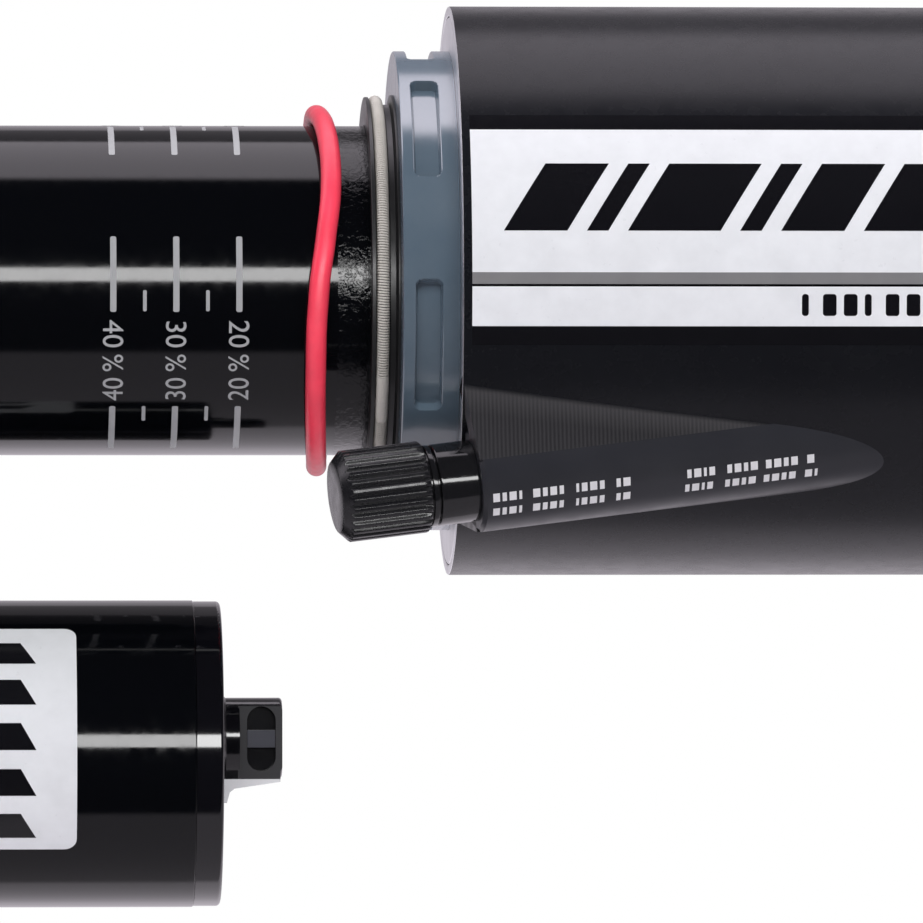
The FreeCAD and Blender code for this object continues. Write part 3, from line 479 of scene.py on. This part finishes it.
class Wrap:
    """Thin printed shapes wrapped on a tube, gathered into one mesh with several inks."""

    def __init__(self, radius, centre_z=0.0):
        self.radius = radius
        self.centre_z = centre_z
        self.verts = []
        self.faces = []
        self.inks = []

    def convex(self, corners, lift, ink=0, step=1.0):
        """A convex outline of (x, degrees) corners, cut into rows that follow the tube."""
        low = min(corner[1] for corner in corners)
        high = max(corner[1] for corner in corners)
        levels = {round(corner[1], 5) for corner in corners}
        rows = max(1, math.ceil((high - low) / step))
        levels |= {round(low + (high - low) * i / rows, 5) for i in range(rows + 1)}
        previous = None
        for level in sorted(levels):
            hits = self.crossings(corners, level)
            if not hits:
                continue
            first = len(self.verts)
            for x in (min(hits), max(hits)):
                self.verts.append(on_tube(x, self.radius + lift, level, self.centre_z))
            if previous is not None:
                self.faces.append((previous, previous + 1, first + 1, first))
                self.inks.append(ink)
            previous = first

    @staticmethod
    def crossings(corners, level):
        hits = []
        for i, (x1, a1) in enumerate(corners):
            x2, a2 = corners[(i + 1) % len(corners)]
            if abs(a1 - level) < 1e-4:
                hits.append(x1)
            if (a1 - level) * (a2 - level) < 0:
                hits.append(x1 + (x2 - x1) * (level - a1) / (a2 - a1))
        return hits

    def strip(self, x1, x2, a1, a2, lift, ink=0, corner=0.0):
        """A rectangle, its corners rounded by a radius in millimetres."""
        if not corner:
            self.convex([(x1, a1), (x2, a1), (x2, a2), (x1, a2)], lift, ink)
            return
        turn = math.degrees(corner / self.radius)
        points = []
        centres = ((x1, a1, 1, 1, 180), (x2, a1, -1, 1, 270), (x2, a2, -1, -1, 0), (x1, a2, 1, -1, 90))
        for x, a, sx, sa, start in centres:
            for k in range(7):
                t = math.radians(start + 15 * k)
                points.append((x + sx * corner + corner * math.cos(t),
                               a + sa * turn + turn * math.sin(t)))
        self.convex(points, lift, ink, 0.5)

    def mesh(self):
        made = bpy.data.meshes.new("wrapped")
        made.from_pydata(self.verts, [], self.faces)
        for polygon, ink in zip(made.polygons, self.inks):
            polygon.material_index = ink
        made.update()
        flip = bmesh.new()
        flip.from_mesh(made)
        for face in flip.faces:
            outward = face.calc_center_median()
            outward.x = 0
            outward.z -= self.centre_z * MM
            if face.normal.dot(outward) < 0:
                face.normal_flip()
        flip.to_mesh(made)
        flip.free()
        return made


def text_outline(text, height):
    """Points and faces of a line of plain numerals, centred on the origin, of that height."""
    curve = bpy.data.curves.new("numerals", "FONT")
    curve.body = text
    curve.size = 1.0
    curve.align_x = "CENTER"
    curve.resolution_u = 6
    holder = bpy.data.objects.new("numerals", curve)
    bpy.context.scene.collection.objects.link(holder)
    bpy.context.view_layer.update()
    mesh = bpy.data.meshes.new_from_object(holder)
    bpy.data.objects.remove(holder)
    tall = max(v.co.y for v in mesh.vertices)
    scale = height / tall
    points = [(v.co.x * scale, (v.co.y - tall / 2) * scale) for v in mesh.vertices]
    faces = [tuple(p.vertices) for p in mesh.polygons]
    bpy.data.meshes.remove(mesh)
    return points, faces


# ---------------------------------------------------------------- damper side

def damper_tube():
    """Polished tube that the can slides on."""
    low, high = TUBE_LOW.x, TUBE_HIGH.x
    bore = TUBE_R - 2.0
    shape = rounded([(low, bore), (low, TUBE_R), (high, TUBE_R), (high, bore)], 0.3)
    finish_mesh("damper_tube_skin", lathe(shape, segments=512), ["gloss_black"], SHOCK_SIDE,
                ["damper_tube"])


def sag_scale():
    """Etched marks every tenth of the stroke, with numerals that read from both ends."""
    wrap = Wrap(TUBE_R)
    twenty = 92.4
    step = STROKE / 10
    half_line, half_short_line = 0.32, 0.19
    long_runs = ((-8.27, 17.96), (-73.0, -44.8))
    short_runs = ((-8.03, -0.77), (-52.3, -44.8))
    etch_lift = 0.012
    numeral_height = 2.1
    for turn in SCALE_TURNS:
        for index in range(3):
            x = twenty - step * index
            for low, high in long_runs:
                wrap.strip(x - half_line, x + half_line, low + turn, high + turn, etch_lift,
                           corner=0.2)
            if index < 2:
                half = x - step / 2
                for low, high in short_runs:
                    wrap.strip(half - half_short_line, half + half_short_line, low + turn,
                               high + turn, etch_lift, corner=0.15)
            number = str(20 + 10 * index)
            for text, middle, upward in ((number, -16.0, 1), ("%", -26.6, 1), (number, -37.2, -1)):
                points, faces = text_outline(text, numeral_height)
                first = len(wrap.verts)
                for across, up in points:
                    along = x + up * upward
                    angle = middle - math.degrees(across * upward / TUBE_R) + turn
                    wrap.verts.append(on_tube(along, TUBE_R + 0.02, angle))
                wrap.faces += [tuple(first + v for v in face) for face in faces]
                wrap.inks += [0] * len(faces)
    finish_mesh("sag_scale", wrap.mesh(), ["etched"], SHOCK_SIDE)


def sag_ring():
    """Rubber ring that has crept out of square on the tube."""
    middle = (RING_LOW.x + RING_HIGH.x) / 2
    section = (RING_HIGH.x - RING_LOW.x) / 2
    centre_r = RING_HIGH.z - section
    # (degrees up from the camera side, offset along the tube)
    places = [(90, -0.35), (62, 0.45), (42, 0.80), (25, 0.45), (7, -0.45), (-8, -0.95), (-20, -1.0),
              (-40, -0.95), (-62, -0.65), (-90, -0.25), (-130, 0.35), (180, 0.0), (130, -0.3)]
    places = sorted((degrees % 360, offset) for degrees, offset in places)

    def offset_at(degrees):
        degrees %= 360
        ring = [(places[-1][0] - 360, places[-1][1])] + places + [(places[0][0] + 360, places[0][1])]
        for (a, u), (b, v) in zip(ring, ring[1:]):
            if a <= degrees <= b:
                t = (degrees - a) / (b - a)
                t = t * t * (3 - 2 * t)
                return u * (1 - t) + v * t
        return 0.0

    section_points = []
    count = 28
    for k in range(count):
        t = math.tau * k / count
        section_points.append((middle + section * math.cos(t), centre_r + section * math.sin(t)))

    def warp(x, radius, degrees):
        smooth = sum(offset_at(degrees + d) for d in (-9, -5, 0, 5, 9)) / 5
        return x + smooth, radius

    finish_mesh("sag_ring_wave", lathe(section_points, warp=warp), ["red_rubber"], "sag_ring",
                ["sag_ring"], sharp=80)


def reservoir():
    """Polished tube of the oil and gas reservoir."""
    low, high = RES_LOW.x, RES_HIGH.x
    bore = RES_R - 2.3
    shape = rounded([(low, bore), (low, RES_R), (high - 0.05, RES_R), (high - 0.05, bore)], 0.12)
    finish_mesh("reservoir_skin", lathe(shape, RES_Z, 512), ["reservoir_black"], SHOCK_SIDE,
                ["reservoir_tube"])


def reservoir_decal():
    """White label with plain slanted bars."""
    wrap = Wrap(RES_R, RES_Z)
    left, right = RES_DECAL_LOW.x, RES_DECAL_HIGH.x
    bottom, top = -36.3, 55.3
    white, black = 0, 1
    row_pitch, row_height = 17, 10
    bar_pitch, bar_width, slant = 9.5, 6.6, 1.6
    wrap.strip(left, right, bottom, top, 0.03, white, corner=1.3)
    for row in range(5):
        low = -31 + row * row_pitch
        high = low + row_height
        for column in range(3):
            start = right - 2.9 - bar_pitch * (column + 1)
            wrap.convex([(start + slant, low), (start + slant + bar_width, low),
                         (start + bar_width, high), (start, high)], 0.05, black)
    finish_mesh("reservoir_label", wrap.mesh(), ["white_film", "black_film"], SHOCK_SIDE,
                ["reservoir_decal"])


# ---------------------------------------------------------------- air can side

VALVE_TURN = math.radians(37.0)
VALVE_TILT = math.radians(11.5)
VALVE_X = 115.9
VALVE_REACH = 33.0
OUTWARD = Vector((0, -math.cos(VALVE_TURN), -math.sin(VALVE_TURN)))
VALVE_ORIGIN = Vector((VALVE_X, 0, 0)) + OUTWARD * VALVE_REACH
VALVE_OUT = Vector((-math.cos(VALVE_TILT), 0, 0)) + OUTWARD * math.sin(VALVE_TILT)
VALVE_IN = Vector((-math.sin(VALVE_TILT), 0, 0)) - OUTWARD * math.cos(VALVE_TILT)
VALVE_SIDE = VALVE_OUT.cross(VALVE_IN)
BOSS_R = 5.35
BOSS_LENGTH = 46.0
FAIRING_TURN = math.radians(30.2)
MARK_TURN = -31.0


def in_valve_frame(mesh):
    """Move a mesh turned about X onto the valve's axis, +X pointing out of the valve."""
    basis = Matrix((VALVE_OUT, VALVE_IN, VALVE_SIDE)).transposed().to_4x4()
    mesh.transform(Matrix.Translation(VALVE_ORIGIN * MM) @ basis)
    return mesh


def air_sleeve():
    """The can's outer shell, with a crisp small edge at its rim."""
    shape = rounded([(RIM_X, SLEEVE_BORE + 0.05), (RIM_X, CAN_R), (CAN_END, CAN_R, 0.05),
                     (CAN_END, SLEEVE_BORE + 0.05)], 0.16, 5)
    mesh = lathe(shape, segments=720)
    for polygon in mesh.polygons:
        facing_out = polygon.normal.x < -0.7
        polygon.material_index = 1 if facing_out else 0
    finish_mesh("air_sleeve_skin", mesh, ["can_satin", "bright"], CAN_SIDE,
                ["air_sleeve"])


def keep_in_wall(mesh):
    """Push whatever would reach into the can's bore back out into its wall."""
    for vertex in mesh.vertices:
        radius = math.hypot(vertex.co.y, vertex.co.z)
        least = (SLEEVE_BORE + 0.15) * MM
        if radius < least:
            vertex.co.y *= least / radius
            vertex.co.z *= least / radius
    return mesh


def valve_boss():
    """Round boss that runs back from the valve and sinks into the can."""
    rings = 46
    bevel = 0.35
    shape = [(0, 0), (0, BOSS_R - 0.5), (-bevel, BOSS_R)]
    shape += [(-bevel - (BOSS_LENGTH - bevel) * k / rings, BOSS_R) for k in range(1, rings + 1)]
    shape += [(-BOSS_LENGTH, 0)]
    shape += [(-BOSS_LENGTH + BOSS_LENGTH * k / 6, 0) for k in range(1, 6)]
    boss = in_valve_frame(lathe(shape, segments=160))
    finish_mesh("valve_boss", keep_in_wall(boss), ["boss_satin"], CAN_SIDE)


def boss_fairing(name, side):
    """Flat machined flank on one side of the boss, which runs down into the can."""
    along = VALVE_IN * math.cos(FAIRING_TURN) + VALVE_SIDE * math.sin(FAIRING_TURN) * side
    face = VALVE_SIDE * math.cos(FAIRING_TURN) * side - VALVE_IN * math.sin(FAIRING_TURN)
    width = 9.4
    inner_depth = 3.0
    block = bmesh.new()
    corners = []
    for depth in (BOSS_R, inner_depth):
        for back, reach in ((0, 0), (0, width), (-BOSS_LENGTH, width), (-BOSS_LENGTH, 0)):
            point = VALVE_ORIGIN + VALVE_OUT * back + along * reach + face * depth
            corners.append(block.verts.new(point * MM))
    loops = ((0, 1, 2, 3), (7, 6, 5, 4), (0, 4, 5, 1), (1, 5, 6, 2), (2, 6, 7, 3), (3, 7, 4, 0))
    for loop in loops:
        block.faces.new([corners[k] for k in loop])
    bmesh.ops.subdivide_edges(block, edges=block.edges, cuts=30, use_grid_fill=True)
    bmesh.ops.recalc_face_normals(block, faces=block.faces)
    mesh = bpy.data.meshes.new("fairing")
    block.to_mesh(mesh)
    block.free()
    finish_mesh(name, keep_in_wall(mesh), ["fairing_lines"], CAN_SIDE)


def boss_marks():
    """Two rows of small plain marks along the boss, where the real one carries print."""
    toward = Vector((0, -1, 0))
    front = math.atan2(toward.dot(VALVE_SIDE), toward.dot(VALVE_IN))
    verts = []
    faces = []

    def at(x, degrees):
        turn = front + math.radians(degrees)
        out = VALVE_IN * math.cos(turn) + VALVE_SIDE * math.sin(turn)
        return (VALVE_ORIGIN + VALVE_OUT * x + out * (BOSS_R + 0.02)) * MM

    row_turn, half_height, gap = 9.0, 5.0, 0.28
    rows = ((MARK_TURN + row_turn, ((-0.9, -16.2), (-21.4, -35.6))),
            (MARK_TURN - row_turn, ((-0.9, -16.2), (-21.2, -36.2))))
    lengths = (0.7, 0.45, 0.75, 0.3, 0.6, 0.75, 0.5)
    longest = 0.8
    for degrees, blocks in rows:
        for block, (start, end) in enumerate(blocks):
            x = start
            count = 0
            while x - longest > end:
                wide = lengths[(count + block) % len(lengths)]
                if count % 5 != 4:
                    first = len(verts)
                    for step in range(4):
                        turn = degrees - half_height + 2 * half_height * step / 3
                        verts += [at(x, turn), at(x - wide, turn)]
                    for step in range(3):
                        k = first + 2 * step
                        faces.append((k, k + 1, k + 3, k + 2))
                x -= wide + gap
                count += 1
    mesh = bpy.data.meshes.new("marks")
    mesh.from_pydata(verts, [], faces)
    finish_mesh("boss_marks", mesh, ["boss_ink"], CAN_SIDE)


def can_collar():
    """Collar with six spanner pockets milled round it, each with soft corners."""
    pocket_depth = 1.03
    left, right = 110.2, 113.05
    half_width = 16.0
    centres = (89, 43.1, -14.2, -72, -130, 172)
    corner = 0.75
    slope = 0.22
    mouth, bore = 19.5, 18.0
    back_end = 124.0

    def depth_at(x, degrees):
        """How deep the pocket is at a place on the rim, from 0 to 1."""
        away = min(abs((degrees - centre + 180) % 360 - 180) for centre in centres)
        across = (half_width - away) * math.pi / 180 * COLLAR_R
        along = min(x - left, right - x)
        if across < corner and along < corner:
            gap = math.hypot(corner - across, corner - along)
            edge = corner - gap
        else:
            edge = min(across, along)
        return max(0.0, min(1.0, edge / slope))

    bevel, margin, steps = 0.14, 0.3, 44
    span = right - left + 2 * margin
    outline = [(COLLAR_X, mouth), (COLLAR_X, COLLAR_R - bevel), (COLLAR_X + 0.05, COLLAR_R - 0.05),
               (COLLAR_X + bevel, COLLAR_R)]
    outline += [(left - margin + span * k / steps, COLLAR_R) for k in range(steps + 1)]
    outline += [(RIM_X - 0.02, COLLAR_R), (RIM_X - 0.02, INNER_CAN_BORE), (back_end, INNER_CAN_BORE),
                (back_end, bore), (WIPER_SEAT_END, bore), (WIPER_SEAT_END, mouth)]

    def warp(x, radius, degrees):
        if radius < COLLAR_R - 1e-6 or x < left - 0.01 or x > right + 0.01:
            return x, radius
        return x, radius - pocket_depth * depth_at(x, degrees)

    finish_mesh("collar_ring", lathe(outline, segments=1440, warp=warp), ["collar"], CAN_SIDE,
                ["can_collar"], sharp=28)


def wiper():
    """Lipped wiper with the groove that its garter spring lies in."""
    lip, lip_end = WIPER_X, WIPER_X + 0.42
    top, floor, neck, flange = 20.3, 19.03, 19.5, 20.5
    groove_end = 107.88
    inside = TUBE_R + 0.1
    shape = rounded([
        (lip, inside), (lip, top, 0.1), (lip_end, top, 0.1), (lip_end, floor), (groove_end, floor),
        (groove_end, neck), (108.5, neck), (108.72, flange, 0.04), (COLLAR_X, flange, 0.04),
        (COLLAR_X, neck - 0.02), (WIPER_SEAT_END, neck - 0.02), (WIPER_SEAT_END, 18.2), (107.6, 18),
        (106.8, inside)], 0.08, 3)
    finish_mesh("wiper_ring", lathe(shape, segments=360), ["rubber"], CAN_SIDE,
                ["wiper_seal"])


GARTER_X = (GARTER_LOW.x + GARTER_HIGH.x) / 2
COIL_R = (GARTER_HIGH.x - GARTER_LOW.x) / 2
GARTER_R = GARTER_HIGH.z - COIL_R


def garter_spring():
    """The wiper's garter spring, wound as a real coil round a dark core."""
    wire = 0.125
    turns = 450
    per_turn = 12
    around = 6
    verts = []
    faces = []
    total = turns * per_turn
    for i in range(total):
        degrees = 360 * i / total
        phase = math.tau * (i % per_turn) / per_turn
        out = Vector((math.cos(phase), math.sin(phase)))
        turn = math.radians(degrees)
        ray = Vector((0, -math.cos(turn), math.sin(turn)))
        centre = Vector((GARTER_X, 0, 0)) + ray * GARTER_R
        spoke = Vector((1, 0, 0)) * out.x + ray * out.y
        side = Vector((0, math.sin(turn), math.cos(turn)))
        at = centre + spoke * (COIL_R - wire)
        for k in range(around):
            a = math.tau * k / around
            verts.append((at + spoke * wire * math.cos(a) + side * wire * math.sin(a)) * MM)
    for i in range(total):
        for k in range(around):
            a = i * around + k
            b = i * around + (k + 1) % around
            c = ((i + 1) % total) * around + (k + 1) % around
            d = ((i + 1) % total) * around + k
            faces.append((a, b, c, d))
    mesh = bpy.data.meshes.new("coil")
    mesh.from_pydata(verts, [], faces)
    finish_mesh("garter_coil", mesh, ["garter"], CAN_SIDE, ["garter_spring"],
                sharp=180)
    core = []
    core_r = COIL_R - 0.24
    core_sides = 16
    for k in range(core_sides):
        t = math.tau * k / core_sides
        core.append((GARTER_X + core_r * math.cos(t), GARTER_R + core_r * math.sin(t)))
    finish_mesh("garter_core", lathe(core, segments=240), ["rubber"], CAN_SIDE,
                sharp=180)


def garter_joint():
    """Plain sleeve where the garter spring's two ends screw together."""
    first_turn, last_turn = -43.0, -27.0
    sleeve = bpy.data.meshes.new("joint")
    verts = []
    faces = []
    rows = 40
    sides = 20
    for i in range(rows + 1):
        degrees = first_turn + (last_turn - first_turn) * i / rows
        fade = min(1.0, min(i, rows - i) / 2)
        for k in range(sides):
            t = math.tau * k / sides
            r = (COIL_R - 0.01) * (0.9 + 0.1 * fade)
            verts.append(on_tube(GARTER_X + r * math.cos(t), GARTER_R + r * math.sin(t), degrees))
    for i in range(rows):
        for k in range(sides):
            faces.append((i * sides + k, i * sides + (k + 1) % sides,
                          (i + 1) * sides + (k + 1) % sides, (i + 1) * sides + k))
    faces.append(tuple(range(sides)))
    faces.append(tuple(rows * sides + k for k in reversed(range(sides))))
    sleeve.from_pydata(verts, [], faces)
    finish_mesh("garter_joint", sleeve, ["garter"], CAN_SIDE)


def valve_cap():
    """Fluted cap: rounded ribs, a soft shoulder and a plain flat end."""
    low, high = 5.2, 14.4
    radius = 4.7
    face = 3.7
    ribs = 30
    shoulder = high - 1.0
    bore, bore_end = 4.0, 13.0
    bevel = 0.15
    groove_depth = 0.34
    steps = 12
    length = shoulder - low - bevel
    shape = [(low, bore), (low, radius - bevel), (low + bevel, radius)]
    shape += [(low + bevel + length * k / steps, radius) for k in range(1, steps + 1)]
    shape += [(shoulder + 0.95 * k / 10, radius - (radius - face) * k / 10) for k in range(1, 11)]
    shape += [(high, face - 0.08), (high, face / 2), (high, 0.0), (bore_end, 0.0), (bore_end, bore)]

    def warp(x, r, degrees):
        """Grooves that run out through the bevel."""
        if r < bore + 0.05 or x < low + 0.1:
            return x, r
        wave = abs(math.sin(math.radians(degrees * ribs / 2)))
        return x, min(r, radius - groove_depth * max(0.0, 1 - wave ** 1.3 * 1.25))

    finish_mesh("valve_cap_fluted", in_valve_frame(lathe(shape, segments=600, warp=warp)),
                ["cap_plastic"], "valve_cap", ["valve_cap"], sharp=50)


def valve_body():
    """Glossy collar and stem of the valve."""
    back, tip = -7.4, 12
    bore, spigot, thread, collar, groove = 2.35, 2.7, 3.85, 4.2, 3.6
    shape = rounded([
        (back, bore), (tip, bore), (tip, thread - 0.15), (tip - 0.3, thread), (4.9, thread, 0.02),
        (4.9, collar, 0.08), (4.35, collar, 0.08), (4.35, groove, 0.02), (4.1, groove, 0.02),
        (4.1, collar, 0.18), (0, collar, 0.1), (0, spigot), (back, spigot)], 0.05)
    finish_mesh("valve_stem", in_valve_frame(lathe(shape, segments=160)), ["valve_gloss"], CAN_SIDE,
                ["valve_body"])


def can_decal():
    """White and black band with plain slanted bars in place of any name."""
    wrap = Wrap(CAN_R)
    left, right = DECAL_LOW.x, DECAL_HIGH.x
    black, white, grey = 1, 0, 2
    wrap.strip(left, right, -11.6, 36.3, 0.02, black)
    wrap.strip(left, right, 2.75, 32.75, 0.035, white)
    wrap.strip(left, right, 0.45, 2.75, 0.035, grey)
    wrap.strip(left, right, -7.85, -0.05, 0.035, white)
    low, high = 11.0, 25.0
    slant, gap, ink_lift = 4.4, 2.0, 0.05
    x = 119.0
    for width in (6.5, 2.2, 9.5, 2.2, 6.5, 14, 2.2, 6.5):
        wrap.convex([(x, low), (x + width, low), (x + width + slant, high), (x + slant, high)],
                    ink_lift, black)
        x += width + gap
    mark_start, mark_pitch = 149.5, 2.15
    for k in range(14):
        x = mark_start + mark_pitch * k
        wrap.strip(x, x + (1.4 if k % 3 else 0.7), -5.8, -1.5, ink_lift, black, corner=0.3)
    finish_mesh("can_band", wrap.mesh(), ["white_film", "black_film", "grey_film"], CAN_SIDE,
                ["can_decal"])


# ---------------------------------------------------------------- room, light and camera

def room_light():
    """White room light from a world of soft bands, which the camera sees as plain white."""
    world = bpy.data.worlds.new("studio")
    bpy.context.scene.world = world
    world.use_nodes = True
    tree = world.node_tree
    tree.nodes.clear()
    output = tree.nodes.new("ShaderNodeOutputWorld")
    coords = tree.nodes.new("ShaderNodeTexCoord")
    split = tree.nodes.new("ShaderNodeSeparateXYZ")
    tree.links.new(coords.outputs["Generated"], split.inputs[0])
    minus = tree.nodes.new("ShaderNodeMath")
    minus.operation = "MULTIPLY"
    minus.inputs[1].default_value = -1
    tree.links.new(split.outputs["Y"], minus.inputs[0])
    angle = tree.nodes.new("ShaderNodeMath")
    angle.operation = "ARCTAN2"
    tree.links.new(split.outputs["Z"], angle.inputs[0])
    tree.links.new(minus.outputs[0], angle.inputs[1])
    turn = tree.nodes.new("ShaderNodeMapRange")
    turn.inputs["From Min"].default_value = -math.pi
    turn.inputs["From Max"].default_value = math.pi
    tree.links.new(angle.outputs[0], turn.inputs["Value"])
    ramp = tree.nodes.new("ShaderNodeValToRGB")
    tree.links.new(turn.outputs[0], ramp.inputs[0])
    # (degrees from the camera side, brightness out of the strongest)
    strongest = 3.0
    bands = [(-180, 0.8), (-166, 0.8), (-150, 1.2), (-114, 1.1), (-110, 0.50), (-46, 0.48),
             (-43, 0.02), (82, 0.02), (86, 2.4), (104, 2.1), (126, 1.6), (128, 0.22), (149, 0.22),
             (152, 0.55), (180, 0.55)]
    stops = ramp.color_ramp.elements
    while len(stops) < len(bands):
        stops.new(1.0)
    for stop, (degrees, value) in zip(stops, bands):
        stop.position = (degrees + 180) / 360
        level = value / strongest
        stop.color = (level * 1.03, level * 0.96, level * 1.05, 1)
    light = tree.nodes.new("ShaderNodeBackground")
    light.inputs["Strength"].default_value = strongest
    tree.links.new(ramp.outputs[0], light.inputs["Color"])
    sheet = tree.nodes.new("ShaderNodeBackground")
    sheet.inputs["Color"].default_value = (1, 1, 1, 1)
    path = tree.nodes.new("ShaderNodeLightPath")
    mix = tree.nodes.new("ShaderNodeMixShader")
    tree.links.new(path.outputs["Is Camera Ray"], mix.inputs[0])
    tree.links.new(light.outputs[0], mix.inputs[1])
    tree.links.new(sheet.outputs[0], mix.inputs[2])
    tree.links.new(mix.outputs[0], output.inputs["Surface"])


def pale_floor():
    """Plain pale floor a little below the part."""
    floor_z = cad_low.z - 0.035
    mesh = bpy.data.meshes.new("floor")
    mesh.from_pydata([(-1.5, -1.5, floor_z), (1.7, -1.5, floor_z), (1.7, 0.5, floor_z),
                      (-1.5, 0.5, floor_z)], [], [(0, 1, 2, 3)])
    floor = bpy.data.objects.new("floor", mesh)
    bpy.context.scene.collection.objects.link(floor)
    paint = Shader("floor_paint", (0.8, 0.8, 0.8), roughness=0.7)
    paint.tint(paint.noise(3, 3), 0.3, 0.7, (0.78, 0.78, 0.78), (0.82, 0.82, 0.82))
    mesh.materials.append(paint.material)
    floor.visible_glossy = False


def lamp(name, place, aim, size, watts):
    """Rectangular area lamp, in metres, which the camera doesn't see."""
    data = bpy.data.lights.new(name, "AREA")
    data.shape = "RECTANGLE"
    data.size, data.size_y = size
    data.energy = watts
    made = bpy.data.objects.new(name, data)
    bpy.context.scene.collection.objects.link(made)
    made.location = place
    made.rotation_euler = (Vector(aim) - Vector(place)).to_track_quat("-Z", "Y").to_euler()
    made.visible_camera = False
    return made


def lamps():
    """Front fill for every piece, and a strip that only the glossy pieces reflect."""
    fill = lamp("front_fill", (0.1, -1.0, 1.0), (0.11, 0, 0), (0.9, 0.6), 15)
    fill.visible_glossy = False
    strip = lamp("strip", (0.22, -3.0, 0.54), (0.05, 0, 0), (3.4, 0.50), 75)
    shiny = bpy.data.collections.new("shiny")
    for name in ("damper_tube_skin", "reservoir_skin", "reservoir_end_cap", "valve_stem",
                 "valve_cap_fluted", "wiper_ring", "sag_ring_wave"):
        shiny.objects.link(bpy.data.objects[name])
    strip.light_linking.receiver_collection = shiny


def camera():
    """Long lens, level, turned a little from the left."""
    aim = Vector((0.1163, 0, -0.0179))
    turned = math.radians(3.2)
    distance = 1.1
    data = bpy.data.cameras.new("camera")
    data.sensor_width = 36
    data.lens = 409
    data.clip_start = 0.05
    made = bpy.data.objects.new("camera", data)
    bpy.context.scene.collection.objects.link(made)
    made.location = aim - Vector((math.sin(turned), math.cos(turned), 0)) * distance
    made.rotation_euler = (math.radians(90), 0, -turned)
    bpy.context.scene.camera = made


bpy.context.scene.view_settings.view_transform = "Standard"
dress_nodes()
damper_tube()
sag_scale()
sag_ring()
reservoir()
reservoir_decal()
air_sleeve()
valve_boss()
boss_fairing("boss_fairing_upper", -1)
boss_fairing("boss_fairing_lower", 1)
boss_marks()
can_collar()
wiper()
garter_spring()
garter_joint()
valve_cap()
valve_body()
can_decal()
room_light()
pale_floor()
lamps()
camera()
